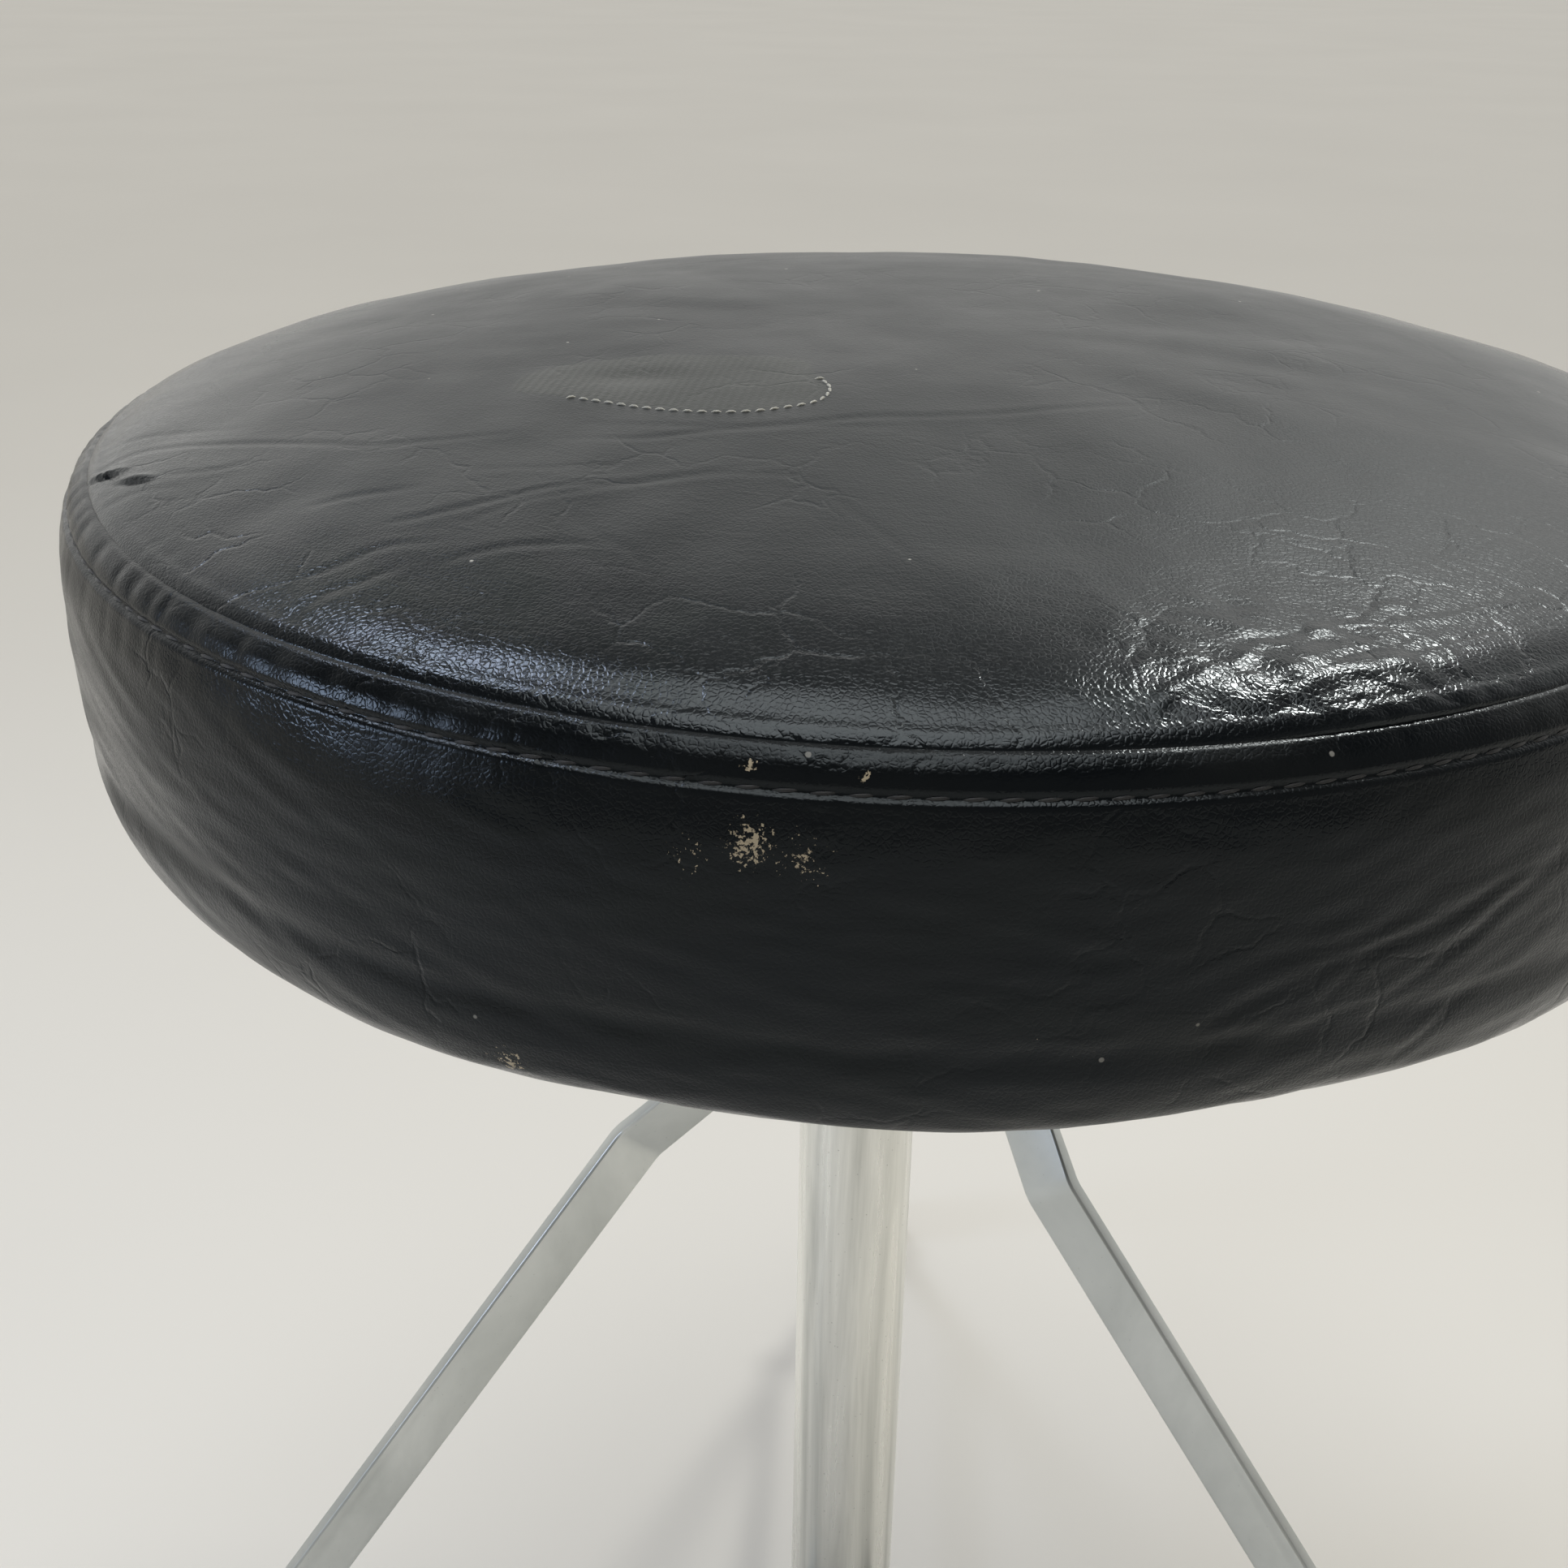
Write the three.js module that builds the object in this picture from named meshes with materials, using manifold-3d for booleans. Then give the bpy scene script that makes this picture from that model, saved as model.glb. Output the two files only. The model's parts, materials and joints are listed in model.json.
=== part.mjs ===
// Adjustable swivel stool: a round upholstered seat that turns on a sliding post,
// and a tripod of three bent flat bars bolted around a plated column.
// Millimetres, +Z up, floor at z = 0, built on the column axis and then centred
// on its bounding box.
import * as THREE from 'three';
import { mergeVertices } from 'three/addons/utils/BufferGeometryUtils.js';
import Module from 'manifold-3d';

const wasm = await Module();
wasm.setup();

// ---- driving dimensions -------------------------------------------------
const GAP = 0.3; // clearance between touching pieces
const THIRD = (2 * Math.PI) / 3;
const LEG_AZIMUTHS = [THIRD * 0.75, THIRD * 1.75, THIRD * 2.75]; // rear, left, right

// seat
const SEAM_Z = 460; // height of the seam around the top panel
const SEAM_R = 166.5; // radius of that seam
const CROWN = 19; // rise of the top panel at its centre
const CROWN_POWER = 2.6; // how late the panel falls off towards the seam
const SKIN = 2; // cover thickness
const SEAT_SHIFT = new THREE.Vector2(9, 9); // the cushion sits off the swivel's centre
const BOARD_R = 150;
const BOARD_T = 12;
const BOARD_DROP = 63.9; // from the seam down to the underside of the board
const BOARD_Z = SEAM_Z - BOARD_DROP;
const BOARD_BORE_R = 19;
const SEAT_SEGMENTS = 36;

// seat bracket, bolted up into the board
const PLATE_SIDE = 92;
const PLATE_T = 3;
const PLATE_Z = BOARD_Z - GAP - PLATE_T;
const BOLT_OFFSET = 35; // bolts sit on a square, this far from both centre lines
const M6_R = 2.9;
const SOCKET_R = 16;
const SOCKET_BORE_R = 12.6;
const SOCKET_H = 26;
const SOCKET_Z = PLATE_Z - SOCKET_H;

// swivel and post
const POST_R = 11.1;
const SPIGOT_R = 9.2;
const BUSH_FLANGE_T = 3;
const SHOULDER_Z = SOCKET_Z - BUSH_FLANGE_T - 2 * GAP;
const POST_LENGTH = 225; // below the shoulder
const SPINDLE_BOLT_R = 4.8;

// column
const TUBE_R = 14.3;
const TUBE_BORE_R = 12.8;
const TUBE_TOP = 358;
const TUBE_BOTTOM = 72;
const BUSH_R = POST_R + 0.25;
const BUSH_BOTTOM = 318;

// tripod legs: flat bar on edge, bent once across its broad face
const BAR_W = 14;
const BAR_T = 3.8;
const LEG_SLOPE = THREE.MathUtils.degToRad(49.6); // of the lower part, below horizontal
const LEG_BEND = THREE.MathUtils.degToRad(21.4);
const BEND_AT = new THREE.Vector3(57.2, -5.3, 289); // outward, sideways, up
const BEND_RADIUS = 11;
const UPPER_LENGTH = 90;
const LOWER_LENGTH = 366;
const HUB_BOLTS = [64, 81]; // along the upper part, from the bend
const M5_R = 2.5;

// hub and clamp
const HUB_R = 22;
const HUB_BOTTOM = 322;
const HUB_TOP = TUBE_TOP;
const CLAMP_AZIMUTH = Math.PI / 2;
const CLAMP_Z = 342;
const CLAMP_R = 4;
const BOSS_R = 7.5;
const BOSS_REACH = 31;
const KNOB_R = 15;
const KNOB_AT = 40;
const KNOB_T = 14;

// lower collar and stays
const COLLAR_R = 20;
const COLLAR_Z = 84;
const COLLAR_H = 16;
const STAY_Z = COLLAR_Z + COLLAR_H / 2;
const STAY_W = 13;
const STAY_T = 3;
const STAY_INNER = 33; // inner bolt, distance out from the axis
const STAY_OUTER = BEND_AT.x + (BEND_AT.z - STAY_Z) / Math.tan(LEG_SLOPE);
const LEG_FACE = BEND_AT.y + BAR_T / 2; // sideways place of the leg's inner broad face
const STAY_FACE = LEG_FACE + GAP; // sideways place of the stay's outer face

// ---- materials ----------------------------------------------------------
const finish = (color, roughness, metalness) =>
  new THREE.MeshStandardMaterial({ color, roughness, metalness });
const VINYL = () => finish(0x15181a, 0.42, 0);
const FOAM = () => finish(0xd8c98e, 0.95, 0);
const PLYWOOD = () => finish(0xb08a5a, 0.75, 0);
const CLOTH = () => finish(0x1c1c1d, 0.95, 0);
const STEEL = () => finish(0x9a9da0, 0.38, 1);
const CHROME = () => finish(0xc9cbcc, 0.12, 1);
const LEG_PLATE = () => finish(0xb7b8b4, 0.3, 1);
const CAST_HUB = () => finish(0xa3a5a4, 0.35, 1);
const NYLON = () => finish(0xd9d6cc, 0.6, 0);
const PLASTIC = () => finish(0x17181a, 0.5, 0);
const RUBBER = () => finish(0x1a1a1b, 0.85, 0);

// ---- helpers ------------------------------------------------------------
const V2 = (x, y) => new THREE.Vector2(x, y);

// A geometry as a manifold solid, and back.
function solid(geometry) {
  const bare = geometry.clone();
  bare.deleteAttribute('normal');
  bare.deleteAttribute('uv');
  const merged = mergeVertices(bare, 1e-4);
  return new wasm.Manifold(new wasm.Mesh({
    numProp: 3,
    vertProperties: new Float32Array(merged.attributes.position.array),
    triVerts: new Uint32Array(merged.index.array),
  }));
}

function geometryOf(manifold) {
  const mesh = manifold.getMesh();
  const geometry = new THREE.BufferGeometry();
  geometry.setAttribute('position', new THREE.BufferAttribute(mesh.vertProperties, 3));
  geometry.setIndex(new THREE.BufferAttribute(mesh.triVerts, 1));
  return geometry;
}

// Turn a profile of [radius, height] pairs about +Z. The pairs run counter-clockwise
// around the section, seen with the axis on the left; a ring's profile closes itself.
function turned(pairs, segments = 24, ring = false) {
  const points = pairs.map(([r, z]) => V2(r, z));
  if (ring) points.push(points[0].clone());
  return new THREE.LatheGeometry(points, segments).rotateX(Math.PI / 2);
}

// A sleeve between two radii and two heights.
function sleeve(inner, outer, bottom, top, segments = 24) {
  const pairs = [[inner, bottom], [outer, bottom], [outer, top], [inner, top]];
  return turned(pairs, segments, true);
}

// A plain cylinder along +Z from one height to another.
function rod(radius, bottom, top, segments = 16) {
  return new THREE.CylinderGeometry(radius, radius, top - bottom, segments)
    .rotateX(Math.PI / 2)
    .translate(0, 0, (bottom + top) / 2);
}

// A box from one corner to the other.
function block(x0, x1, y0, y1, z0, z1) {
  return new THREE.BoxGeometry(x1 - x0, y1 - y0, z1 - z0)
    .translate((x0 + x1) / 2, (y0 + y1) / 2, (z0 + z1) / 2);
}

// A hexagon-headed screw along Z: head above z = 0, shank below it.
function hexScrew(shankRadius, shankLength, headRadius, headHeight) {
  const head = solid(rod(headRadius, 0, headHeight, 6));
  const shank = solid(rod(shankRadius, -shankLength, headHeight / 2, 12));
  return geometryOf(head.add(shank));
}

// A hexagon nut along Z, from z = 0 up.
function hexNut(boreRadius, radius, height) {
  return geometryOf(solid(rod(radius, 0, height, 6)).subtract(solid(rod(boreRadius, -1, height + 1, 12))));
}

function piece(name, geometry, material, parent) {
  const mesh = new THREE.Mesh(geometry, material);
  mesh.name = name;
  parent.add(mesh);
  return mesh;
}

const stool = new THREE.Group();

// ---- seat cushion -------------------------------------------------------
// Heights of the cushion parts count from the top seam.
const seat = new THREE.Group();
seat.position.set(SEAT_SHIFT.x, SEAT_SHIFT.y, SEAM_Z);
stool.add(seat);

const crownAt = (r) => CROWN * (1 - (r / SEAM_R) ** CROWN_POWER);
const PANEL_RADII = [55, 98, 130, 152];
const PANEL_EDGE = SEAM_R - 0.5;

// Top panel: a slightly crowned disc of cover material.
piece('seat_top_panel', turned([
  [0, CROWN - SKIN],
  ...PANEL_RADII.map((r) => [r, crownAt(r) - SKIN]),
  [PANEL_EDGE, -SKIN],
  [PANEL_EDGE, 0],
  ...PANEL_RADII.toReversed().map((r) => [r, crownAt(r)]),
  [0, CROWN],
], SEAT_SEGMENTS), VINYL(), seat);

// Side band: sewn to the top panel, bulging, and turned in under the board.
const BAND_OUTER = [
  [130, -66.5], [152.5, -66.2], [162.5, -63.2], [169.7, -57.8], [172.5, -48],
  [173, -37.9], [173.2, -13.6], [170.7, -5.5], [SEAM_R, -SKIN - GAP],
];
const BAND_INNER = [
  [SEAM_R - SKIN, -SKIN - GAP], [168.8, -6.1], [171.2, -14], [171, -37.6], [170.5, -47.4],
  [168, -56.6], [161.6, -61.4], [152, -64.2], [130, -64.8],
];
piece('seat_side_band', turned([...BAND_OUTER, ...BAND_INNER], SEAT_SEGMENTS, true), VINYL(), seat);

// Foam pad: fills the cover and laps over the edge of the board.
const FOAM_BASE = -BOARD_DROP + BOARD_T + GAP;
piece('foam_pad', turned([
  [0, FOAM_BASE + 2], [74, FOAM_BASE + 2], [74, FOAM_BASE], [BOARD_R + 1, FOAM_BASE],
  [BOARD_R + 1, -62.8], [161, -60.7], [167.2, -56.2], [170.1, -47.2], [170.6, -37.6],
  [170.8, -14.2], [168.2, -6.5], [SEAM_R - SKIN - 1, -SKIN - 2 * GAP],
  ...PANEL_RADII.toReversed().map((r) => [r, crownAt(r) - SKIN - GAP]),
  [0, CROWN - SKIN - GAP],
], SEAT_SEGMENTS), FOAM(), seat);

// ---- board and its hardware ---------------------------------------------
const BOLT_CORNERS = [[1, 1], [-1, 1], [-1, -1], [1, -1]]
  .map(([x, y]) => [x * BOLT_OFFSET, y * BOLT_OFFSET]);

const boardShape = new THREE.Shape()
  .absarc(SEAT_SHIFT.x, SEAT_SHIFT.y, BOARD_R, 0, 2 * Math.PI);
boardShape.holes.push(new THREE.Path().absarc(0, 0, BOARD_BORE_R, 0, 2 * Math.PI, true));
for (const [x, y] of BOLT_CORNERS) {
  boardShape.holes.push(new THREE.Path().absarc(x, y, 4.3, 0, 2 * Math.PI, true));
}
const board = piece('seat_board', new THREE.ExtrudeGeometry(boardShape, {
  depth: BOARD_T, bevelEnabled: false, curveSegments: 14,
}), PLYWOOD(), stool);
board.position.z = BOARD_Z;

// Dust cloth: covers the turned-in edge of the band, cut out around the bracket.
const CLOTH_DROP = 67.7;
const clothShape = new THREE.Shape().absarc(SEAT_SHIFT.x, SEAT_SHIFT.y, 142, 0, 2 * Math.PI);
clothShape.holes.push(new THREE.Path().absarc(0, 0, 68, 0, 2 * Math.PI, true));
piece('dust_cloth', new THREE.ExtrudeGeometry(clothShape, {
  depth: 0.9, bevelEnabled: false, curveSegments: 18,
}), CLOTH(), stool).position.z = SEAM_Z - CLOTH_DROP;

// Bracket: a square plate with a socket welded under it.
const plateShape = new THREE.Shape();
const CORNER = 10;
const half = PLATE_SIDE / 2 - CORNER;
plateShape.absarc(half, half, CORNER, 0, Math.PI / 2);
plateShape.absarc(-half, half, CORNER, Math.PI / 2, Math.PI);
plateShape.absarc(-half, -half, CORNER, Math.PI, 1.5 * Math.PI);
plateShape.absarc(half, -half, CORNER, 1.5 * Math.PI, 2 * Math.PI);
plateShape.holes.push(new THREE.Path().absarc(0, 0, SOCKET_BORE_R, 0, 2 * Math.PI, true));
for (const [x, y] of BOLT_CORNERS) {
  plateShape.holes.push(new THREE.Path().absarc(x, y, 3.3, 0, 2 * Math.PI, true));
}
const plate = solid(new THREE.ExtrudeGeometry(plateShape, {
  depth: PLATE_T, bevelEnabled: false, curveSegments: 5,
}));
const socket = solid(sleeve(SOCKET_BORE_R, SOCKET_R, -SOCKET_H, PLATE_T / 2, 28));
const bracket = plate.add(socket).subtract(solid(rod(SOCKET_BORE_R, -SOCKET_H - 1, PLATE_T + 1, 28)));
piece('seat_bracket', geometryOf(bracket), STEEL(), stool).position.z = PLATE_Z;

BOLT_CORNERS.forEach(([x, y], i) => {
  const teeNut = turned([
    [3.3, 0], [3.9, 0], [3.9, 9], [9, 9], [9, 10.4], [3.3, 10.4],
  ], 10, true);
  piece(`tee_nut_${i + 1}`, teeNut, STEEL(), stool).position
    .set(x, y, BOARD_Z + BOARD_T + GAP - 9);
  const bolt = piece(`bracket_bolt_${i + 1}`, hexScrew(M6_R, 13, 5.5, 4), STEEL(), stool);
  bolt.position.set(x, y, PLATE_Z - GAP);
  bolt.rotation.x = Math.PI;
});

// ---- swivel -------------------------------------------------------------
// Nylon bush: lines the socket, and its flange carries the seat on the post's shoulder.
piece('swivel_bush', turned([
  [SPIGOT_R + GAP, SHOULDER_Z + GAP], [SOCKET_R, SHOULDER_Z + GAP],
  [SOCKET_R, SOCKET_Z - GAP], [SOCKET_BORE_R - GAP, SOCKET_Z - GAP],
  [SOCKET_BORE_R - GAP, PLATE_Z + PLATE_T - 2], [SPIGOT_R + GAP, PLATE_Z + PLATE_T - 2],
], 28, true), NYLON(), stool);

// Post: a bar turned down at its top, tapped for the bolt that keeps the seat on.
const SPIGOT_TOP = PLATE_Z + PLATE_T - 1;
piece('seat_post', turned([
  [0, SHOULDER_Z - POST_LENGTH], [POST_R - 1.5, SHOULDER_Z - POST_LENGTH],
  [POST_R, SHOULDER_Z - POST_LENGTH + 1.5], [POST_R, SHOULDER_Z], [SPIGOT_R, SHOULDER_Z],
  [SPIGOT_R, SPIGOT_TOP], [SPINDLE_BOLT_R + GAP, SPIGOT_TOP],
  [SPINDLE_BOLT_R + GAP, SPIGOT_TOP - 26], [0, SPIGOT_TOP - 26],
], 28), CHROME(), stool);

const WASHER_Z = PLATE_Z + PLATE_T + GAP;
piece('spindle_washer', sleeve(SPINDLE_BOLT_R + GAP, 15, WASHER_Z, WASHER_Z + 2, 24), STEEL(), stool);
piece('spindle_bolt', hexScrew(SPINDLE_BOLT_R, 24, 9, 6), STEEL(), stool)
  .position.z = WASHER_Z + 2 + GAP;

// ---- column -------------------------------------------------------------
// A radial bore for the clamp screw through whatever surrounds the post.
const clampTurn = new THREE.Matrix4().makeRotationZ(CLAMP_AZIMUTH)
  .multiply(new THREE.Matrix4().makeTranslation(0, 0, CLAMP_Z))
  .multiply(new THREE.Matrix4().makeRotationY(Math.PI / 2));
const clampBore = (radius) => solid(rod(radius, 5, 60).applyMatrix4(clampTurn));

const tube = solid(sleeve(TUBE_BORE_R, TUBE_R, TUBE_BOTTOM, TUBE_TOP, 36));
piece('column_tube', geometryOf(tube.subtract(clampBore(CLAMP_R + GAP))), CHROME(), stool);

const columnBush = solid(turned([
  [BUSH_R, BUSH_BOTTOM], [TUBE_BORE_R - GAP, BUSH_BOTTOM], [TUBE_BORE_R - GAP, TUBE_TOP + GAP],
  [SOCKET_R, TUBE_TOP + GAP], [SOCKET_R, TUBE_TOP + 2.2], [BUSH_R, TUBE_TOP + 2.2],
], 28, true));
piece('column_bush', geometryOf(columnBush.subtract(clampBore(CLAMP_R + GAP))), NYLON(), stool);

piece('column_end_plug', turned([
  [0, TUBE_BOTTOM - 6], [TUBE_R - 2.5, TUBE_BOTTOM - 6], [TUBE_R, TUBE_BOTTOM - 4],
  [TUBE_R, TUBE_BOTTOM - GAP], [TUBE_BORE_R - GAP, TUBE_BOTTOM - GAP],
  [TUBE_BORE_R - 1, TUBE_BOTTOM + 16], [0, TUBE_BOTTOM + 16],
], 28), PLASTIC(), stool);

// ---- leg frames ---------------------------------------------------------
// legFrame: x down the lower part, y sideways, z across the bar's width.
// upperFrame: the same at the bend, x along the upper part, +y away from the column.
const legMatrix = (azimuth) => new THREE.Matrix4().makeRotationZ(azimuth)
  .multiply(new THREE.Matrix4().makeTranslation(BEND_AT.x, BEND_AT.y, BEND_AT.z))
  .multiply(new THREE.Matrix4().makeRotationY(LEG_SLOPE));
const upperMatrix = (azimuth) => legMatrix(azimuth)
  .multiply(new THREE.Matrix4().makeRotationZ(-LEG_BEND));

// Hub: a cast ring with a slanted pad for each leg and a boss for the clamp screw.
const PAD_FACE = -BAR_T / 2 - GAP;
const SCREW_REACH = 8.8; // hub screws end this far inside the bar's middle plane
let hub = solid(sleeve(TUBE_R + GAP, HUB_R, HUB_BOTTOM, HUB_TOP, 36));
hub = hub.add(solid(rod(BOSS_R, TUBE_R + 2, BOSS_REACH).applyMatrix4(clampTurn)));
for (const azimuth of LEG_AZIMUTHS) {
  const pad = block(-UPPER_LENGTH, -HUB_BOLTS[0] + 9, -13, PAD_FACE, -BAR_W / 2 - 1, BAR_W / 2 + 1);
  hub = hub.add(solid(pad.applyMatrix4(upperMatrix(azimuth))));
}
for (const azimuth of LEG_AZIMUTHS) {
  const bay = block(-UPPER_LENGTH - 9, -30, PAD_FACE, 40, -BAR_W / 2 - 1, BAR_W / 2 + 1);
  hub = hub.subtract(solid(bay.applyMatrix4(upperMatrix(azimuth))));
  for (const along of HUB_BOLTS) {
    const tapped = rod(M5_R + GAP, -SCREW_REACH - GAP, 10, 12).rotateX(-Math.PI / 2)
      .translate(-along, 0, 0);
    hub = hub.subtract(solid(tapped.applyMatrix4(upperMatrix(azimuth))));
  }
}
hub = hub.subtract(solid(rod(TUBE_R + GAP, HUB_BOTTOM - 20, HUB_TOP + 20, 36)));
hub = hub.subtract(clampBore(CLAMP_R + GAP));
hub = hub.subtract(solid(block(-80, 80, -80, 80, HUB_TOP, HUB_TOP + 60)));
piece('leg_hub', geometryOf(hub), CAST_HUB(), stool);

// Clamp: a screw that presses the post, turned by a lobed knob.
const clamp = new THREE.Group();
clamp.applyMatrix4(clampTurn);
stool.add(clamp);
piece('clamp_screw', rod(CLAMP_R, POST_R + GAP, KNOB_AT + KNOB_T - 4), STEEL(), clamp);
const lobedShape = new THREE.Shape();
const KNOB_STEPS = 40;
for (let i = 0; i < KNOB_STEPS; i += 1) {
  const angle = (i / KNOB_STEPS) * 2 * Math.PI;
  const radius = KNOB_R - 1.8 + 1.8 * Math.cos(5 * angle);
  const point = [radius * Math.cos(angle), radius * Math.sin(angle)];
  if (i === 0) lobedShape.moveTo(...point);
  else lobedShape.lineTo(...point);
}
const knobBody = solid(new THREE.ExtrudeGeometry(lobedShape, { depth: KNOB_T, bevelEnabled: false })
  .translate(0, 0, KNOB_AT));
const knobBore = solid(rod(CLAMP_R + GAP, KNOB_AT - 1, KNOB_AT + KNOB_T - 4 + GAP));
piece('clamp_knob', geometryOf(knobBody.subtract(knobBore)), PLASTIC(), clamp);

// Lower collar: a ring with an ear for each stay.
let collar = solid(sleeve(TUBE_R + GAP, COLLAR_R, COLLAR_Z, COLLAR_Z + COLLAR_H, 36));
const EAR_FACE = STAY_FACE + STAY_T + GAP; // sideways place of the face the stay lies on
for (const azimuth of LEG_AZIMUTHS) {
  const turn = new THREE.Matrix4().makeRotationZ(azimuth);
  const ear = block(18, STAY_INNER + 9, EAR_FACE, EAR_FACE + 3.2, COLLAR_Z, COLLAR_Z + COLLAR_H);
  const bore = rod(M5_R + GAP, -12, 12, 12).rotateX(Math.PI / 2).translate(STAY_INNER, 0, STAY_Z);
  collar = collar.add(solid(ear.applyMatrix4(turn)));
  collar = collar.subtract(solid(bore.applyMatrix4(turn)));
}
const SET_SCREW_AZIMUTH = LEG_AZIMUTHS[0] + THIRD / 2;
const setTurn = new THREE.Matrix4().makeRotationZ(SET_SCREW_AZIMUTH)
  .multiply(new THREE.Matrix4().makeTranslation(0, 0, STAY_Z))
  .multiply(new THREE.Matrix4().makeRotationY(Math.PI / 2));
collar = collar.subtract(solid(rod(3 + GAP, TUBE_R - 1, COLLAR_R + 4, 12).applyMatrix4(setTurn)));
collar = collar.subtract(solid(rod(TUBE_R + GAP, COLLAR_Z - 5, COLLAR_Z + COLLAR_H + 5, 36)));
piece('lower_collar', geometryOf(collar), CAST_HUB(), stool);
piece('collar_screw', rod(3, TUBE_R + GAP, COLLAR_R + 1, 12).applyMatrix4(setTurn), STEEL(), stool);

// ---- legs ---------------------------------------------------------------
// The bar's outline seen along its width, with the bend as two concentric arcs.
function legOutline() {
  const reach = BEND_RADIUS * Math.tan(LEG_BEND / 2);
  const [c, s] = [Math.cos(LEG_BEND), Math.sin(LEG_BEND)];
  const top = V2(-c * UPPER_LENGTH, s * UPPER_LENGTH);
  const side = V2(s, c).multiplyScalar(BAR_T / 2);
  const [start, end] = [-Math.PI / 2 - LEG_BEND, -Math.PI / 2];
  const shape = new THREE.Shape();
  shape.moveTo(top.x + side.x, top.y + side.y);
  shape.absarc(reach, BEND_RADIUS, BEND_RADIUS - BAR_T / 2, start, end);
  shape.lineTo(LOWER_LENGTH, BAR_T / 2);
  shape.lineTo(LOWER_LENGTH, -BAR_T / 2);
  shape.absarc(reach, BEND_RADIUS, BEND_RADIUS + BAR_T / 2, end, start, true);
  shape.lineTo(top.x - side.x, top.y - side.y);
  return shape;
}
const EDGE = 0.5; // rolled edges of the bar
const legBar = new THREE.ExtrudeGeometry(legOutline(), {
  depth: BAR_W - 2 * EDGE, bevelThickness: EDGE, bevelSize: EDGE, bevelOffset: -EDGE,
  bevelSegments: 1, curveSegments: 5,
}).translate(0, 0, -BAR_W / 2 + EDGE);
let legSolid = solid(legBar);
const upperTurn = new THREE.Matrix4().makeRotationZ(-LEG_BEND);
for (const along of HUB_BOLTS) {
  const bore = rod(M5_R + GAP, -10, 10, 12).rotateX(Math.PI / 2).translate(-along, 0, 0);
  legSolid = legSolid.subtract(solid(bore.applyMatrix4(upperTurn)));
}
const STAY_ALONG = (BEND_AT.z - STAY_Z) / Math.sin(LEG_SLOPE);
legSolid = legSolid.subtract(solid(
  rod(M5_R + GAP, -10, 10, 12).rotateX(Math.PI / 2).translate(STAY_ALONG, 0, 0),
));

// Rubber foot: a boot over the end of the bar, cut flat on the floor.
const BOOT_WALL = 3.2;
const BOOT_TOE = 13; // rubber beyond the end of the bar
function boot(azimuth) {
  const y = BAR_T / 2 + BOOT_WALL;
  const z = BAR_W / 2 + BOOT_WALL;
  let body = solid(block(LOWER_LENGTH - 30, LOWER_LENGTH + BOOT_TOE, -y, y, -z, z));
  body = body.subtract(solid(block(
    LOWER_LENGTH - 40, LOWER_LENGTH + GAP,
    -BAR_T / 2 - GAP, BAR_T / 2 + GAP, -BAR_W / 2 - GAP, BAR_W / 2 + GAP,
  )));
  const floor = block(-900, 900, -900, 900, -200, 0);
  return geometryOf(body.subtract(solid(floor.applyMatrix4(legMatrix(azimuth).invert()))));
}

// Stay: a flat strap with round ends, on edge like the legs.
function stayGeometry() {
  const shape = new THREE.Shape();
  shape.absarc(STAY_INNER, 0, STAY_W / 2, Math.PI / 2, 1.5 * Math.PI);
  shape.absarc(STAY_OUTER, 0, STAY_W / 2, 1.5 * Math.PI, 2.5 * Math.PI);
  for (const x of [STAY_INNER, STAY_OUTER]) {
    shape.holes.push(new THREE.Path().absarc(x, 0, M5_R + GAP, 0, 2 * Math.PI, true));
  }
  return new THREE.ExtrudeGeometry(shape, { depth: STAY_T, bevelEnabled: false, curveSegments: 6 });
}

LEG_AZIMUTHS.forEach((azimuth, i) => {
  const n = i + 1;
  const around = new THREE.Group();
  around.rotation.z = azimuth;
  stool.add(around);
  const along = new THREE.Group();
  along.position.copy(BEND_AT);
  along.rotation.y = LEG_SLOPE;
  around.add(along);
  const upper = new THREE.Group();
  upper.rotation.z = -LEG_BEND;
  along.add(upper);

  piece(`leg_${n}`, geometryOf(legSolid), LEG_PLATE(), along);
  piece(`rubber_foot_${n}`, boot(azimuth), RUBBER(), along);

  HUB_BOLTS.forEach((distance, j) => {
    const screw = piece(`hub_screw_${n}_${j + 1}`,
      hexScrew(M5_R, SCREW_REACH + BAR_T / 2 + GAP, 4.6, 3.5), STEEL(), upper);
    screw.position.set(-distance, BAR_T / 2 + GAP, 0);
    screw.rotation.x = -Math.PI / 2;
  });

  const stay = piece(`stay_${n}`, stayGeometry(), LEG_PLATE(), around);
  stay.rotation.x = Math.PI / 2;
  stay.position.set(0, STAY_FACE + STAY_T, STAY_Z);

  // Both stay bolts lie sideways: head on the +y side, nut on the -y side.
  const bolts = [
    ['inner', STAY_INNER, EAR_FACE + 3.2, STAY_FACE],
    ['outer', STAY_OUTER, STAY_FACE + STAY_T, LEG_FACE - BAR_T],
  ];
  for (const [place, x, headFace, nutFace] of bolts) {
    const bolt = piece(`stay_${place}_bolt_${n}`,
      hexScrew(M5_R, headFace - nutFace + 6, 4.6, 3.5), STEEL(), around);
    bolt.position.set(x, headFace + GAP, STAY_Z);
    bolt.rotation.x = -Math.PI / 2;
    const nut = piece(`stay_${place}_nut_${n}`, hexNut(M5_R + GAP, 4.6, 4), STEEL(), around);
    nut.position.set(x, nutFace - GAP, STAY_Z);
    nut.rotation.x = Math.PI / 2;
  }
});

// ---- stand the stool on the origin: centre of its bounding box, at the floor
const middle = new THREE.Box3().setFromObject(stool, true).getCenter(new THREE.Vector3());
stool.position.set(-middle.x, -middle.y, 0);

export default stool;
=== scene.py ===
import json
import math

import bpy
import bmesh
import numpy as np
from mathutils import Matrix, Vector

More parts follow.
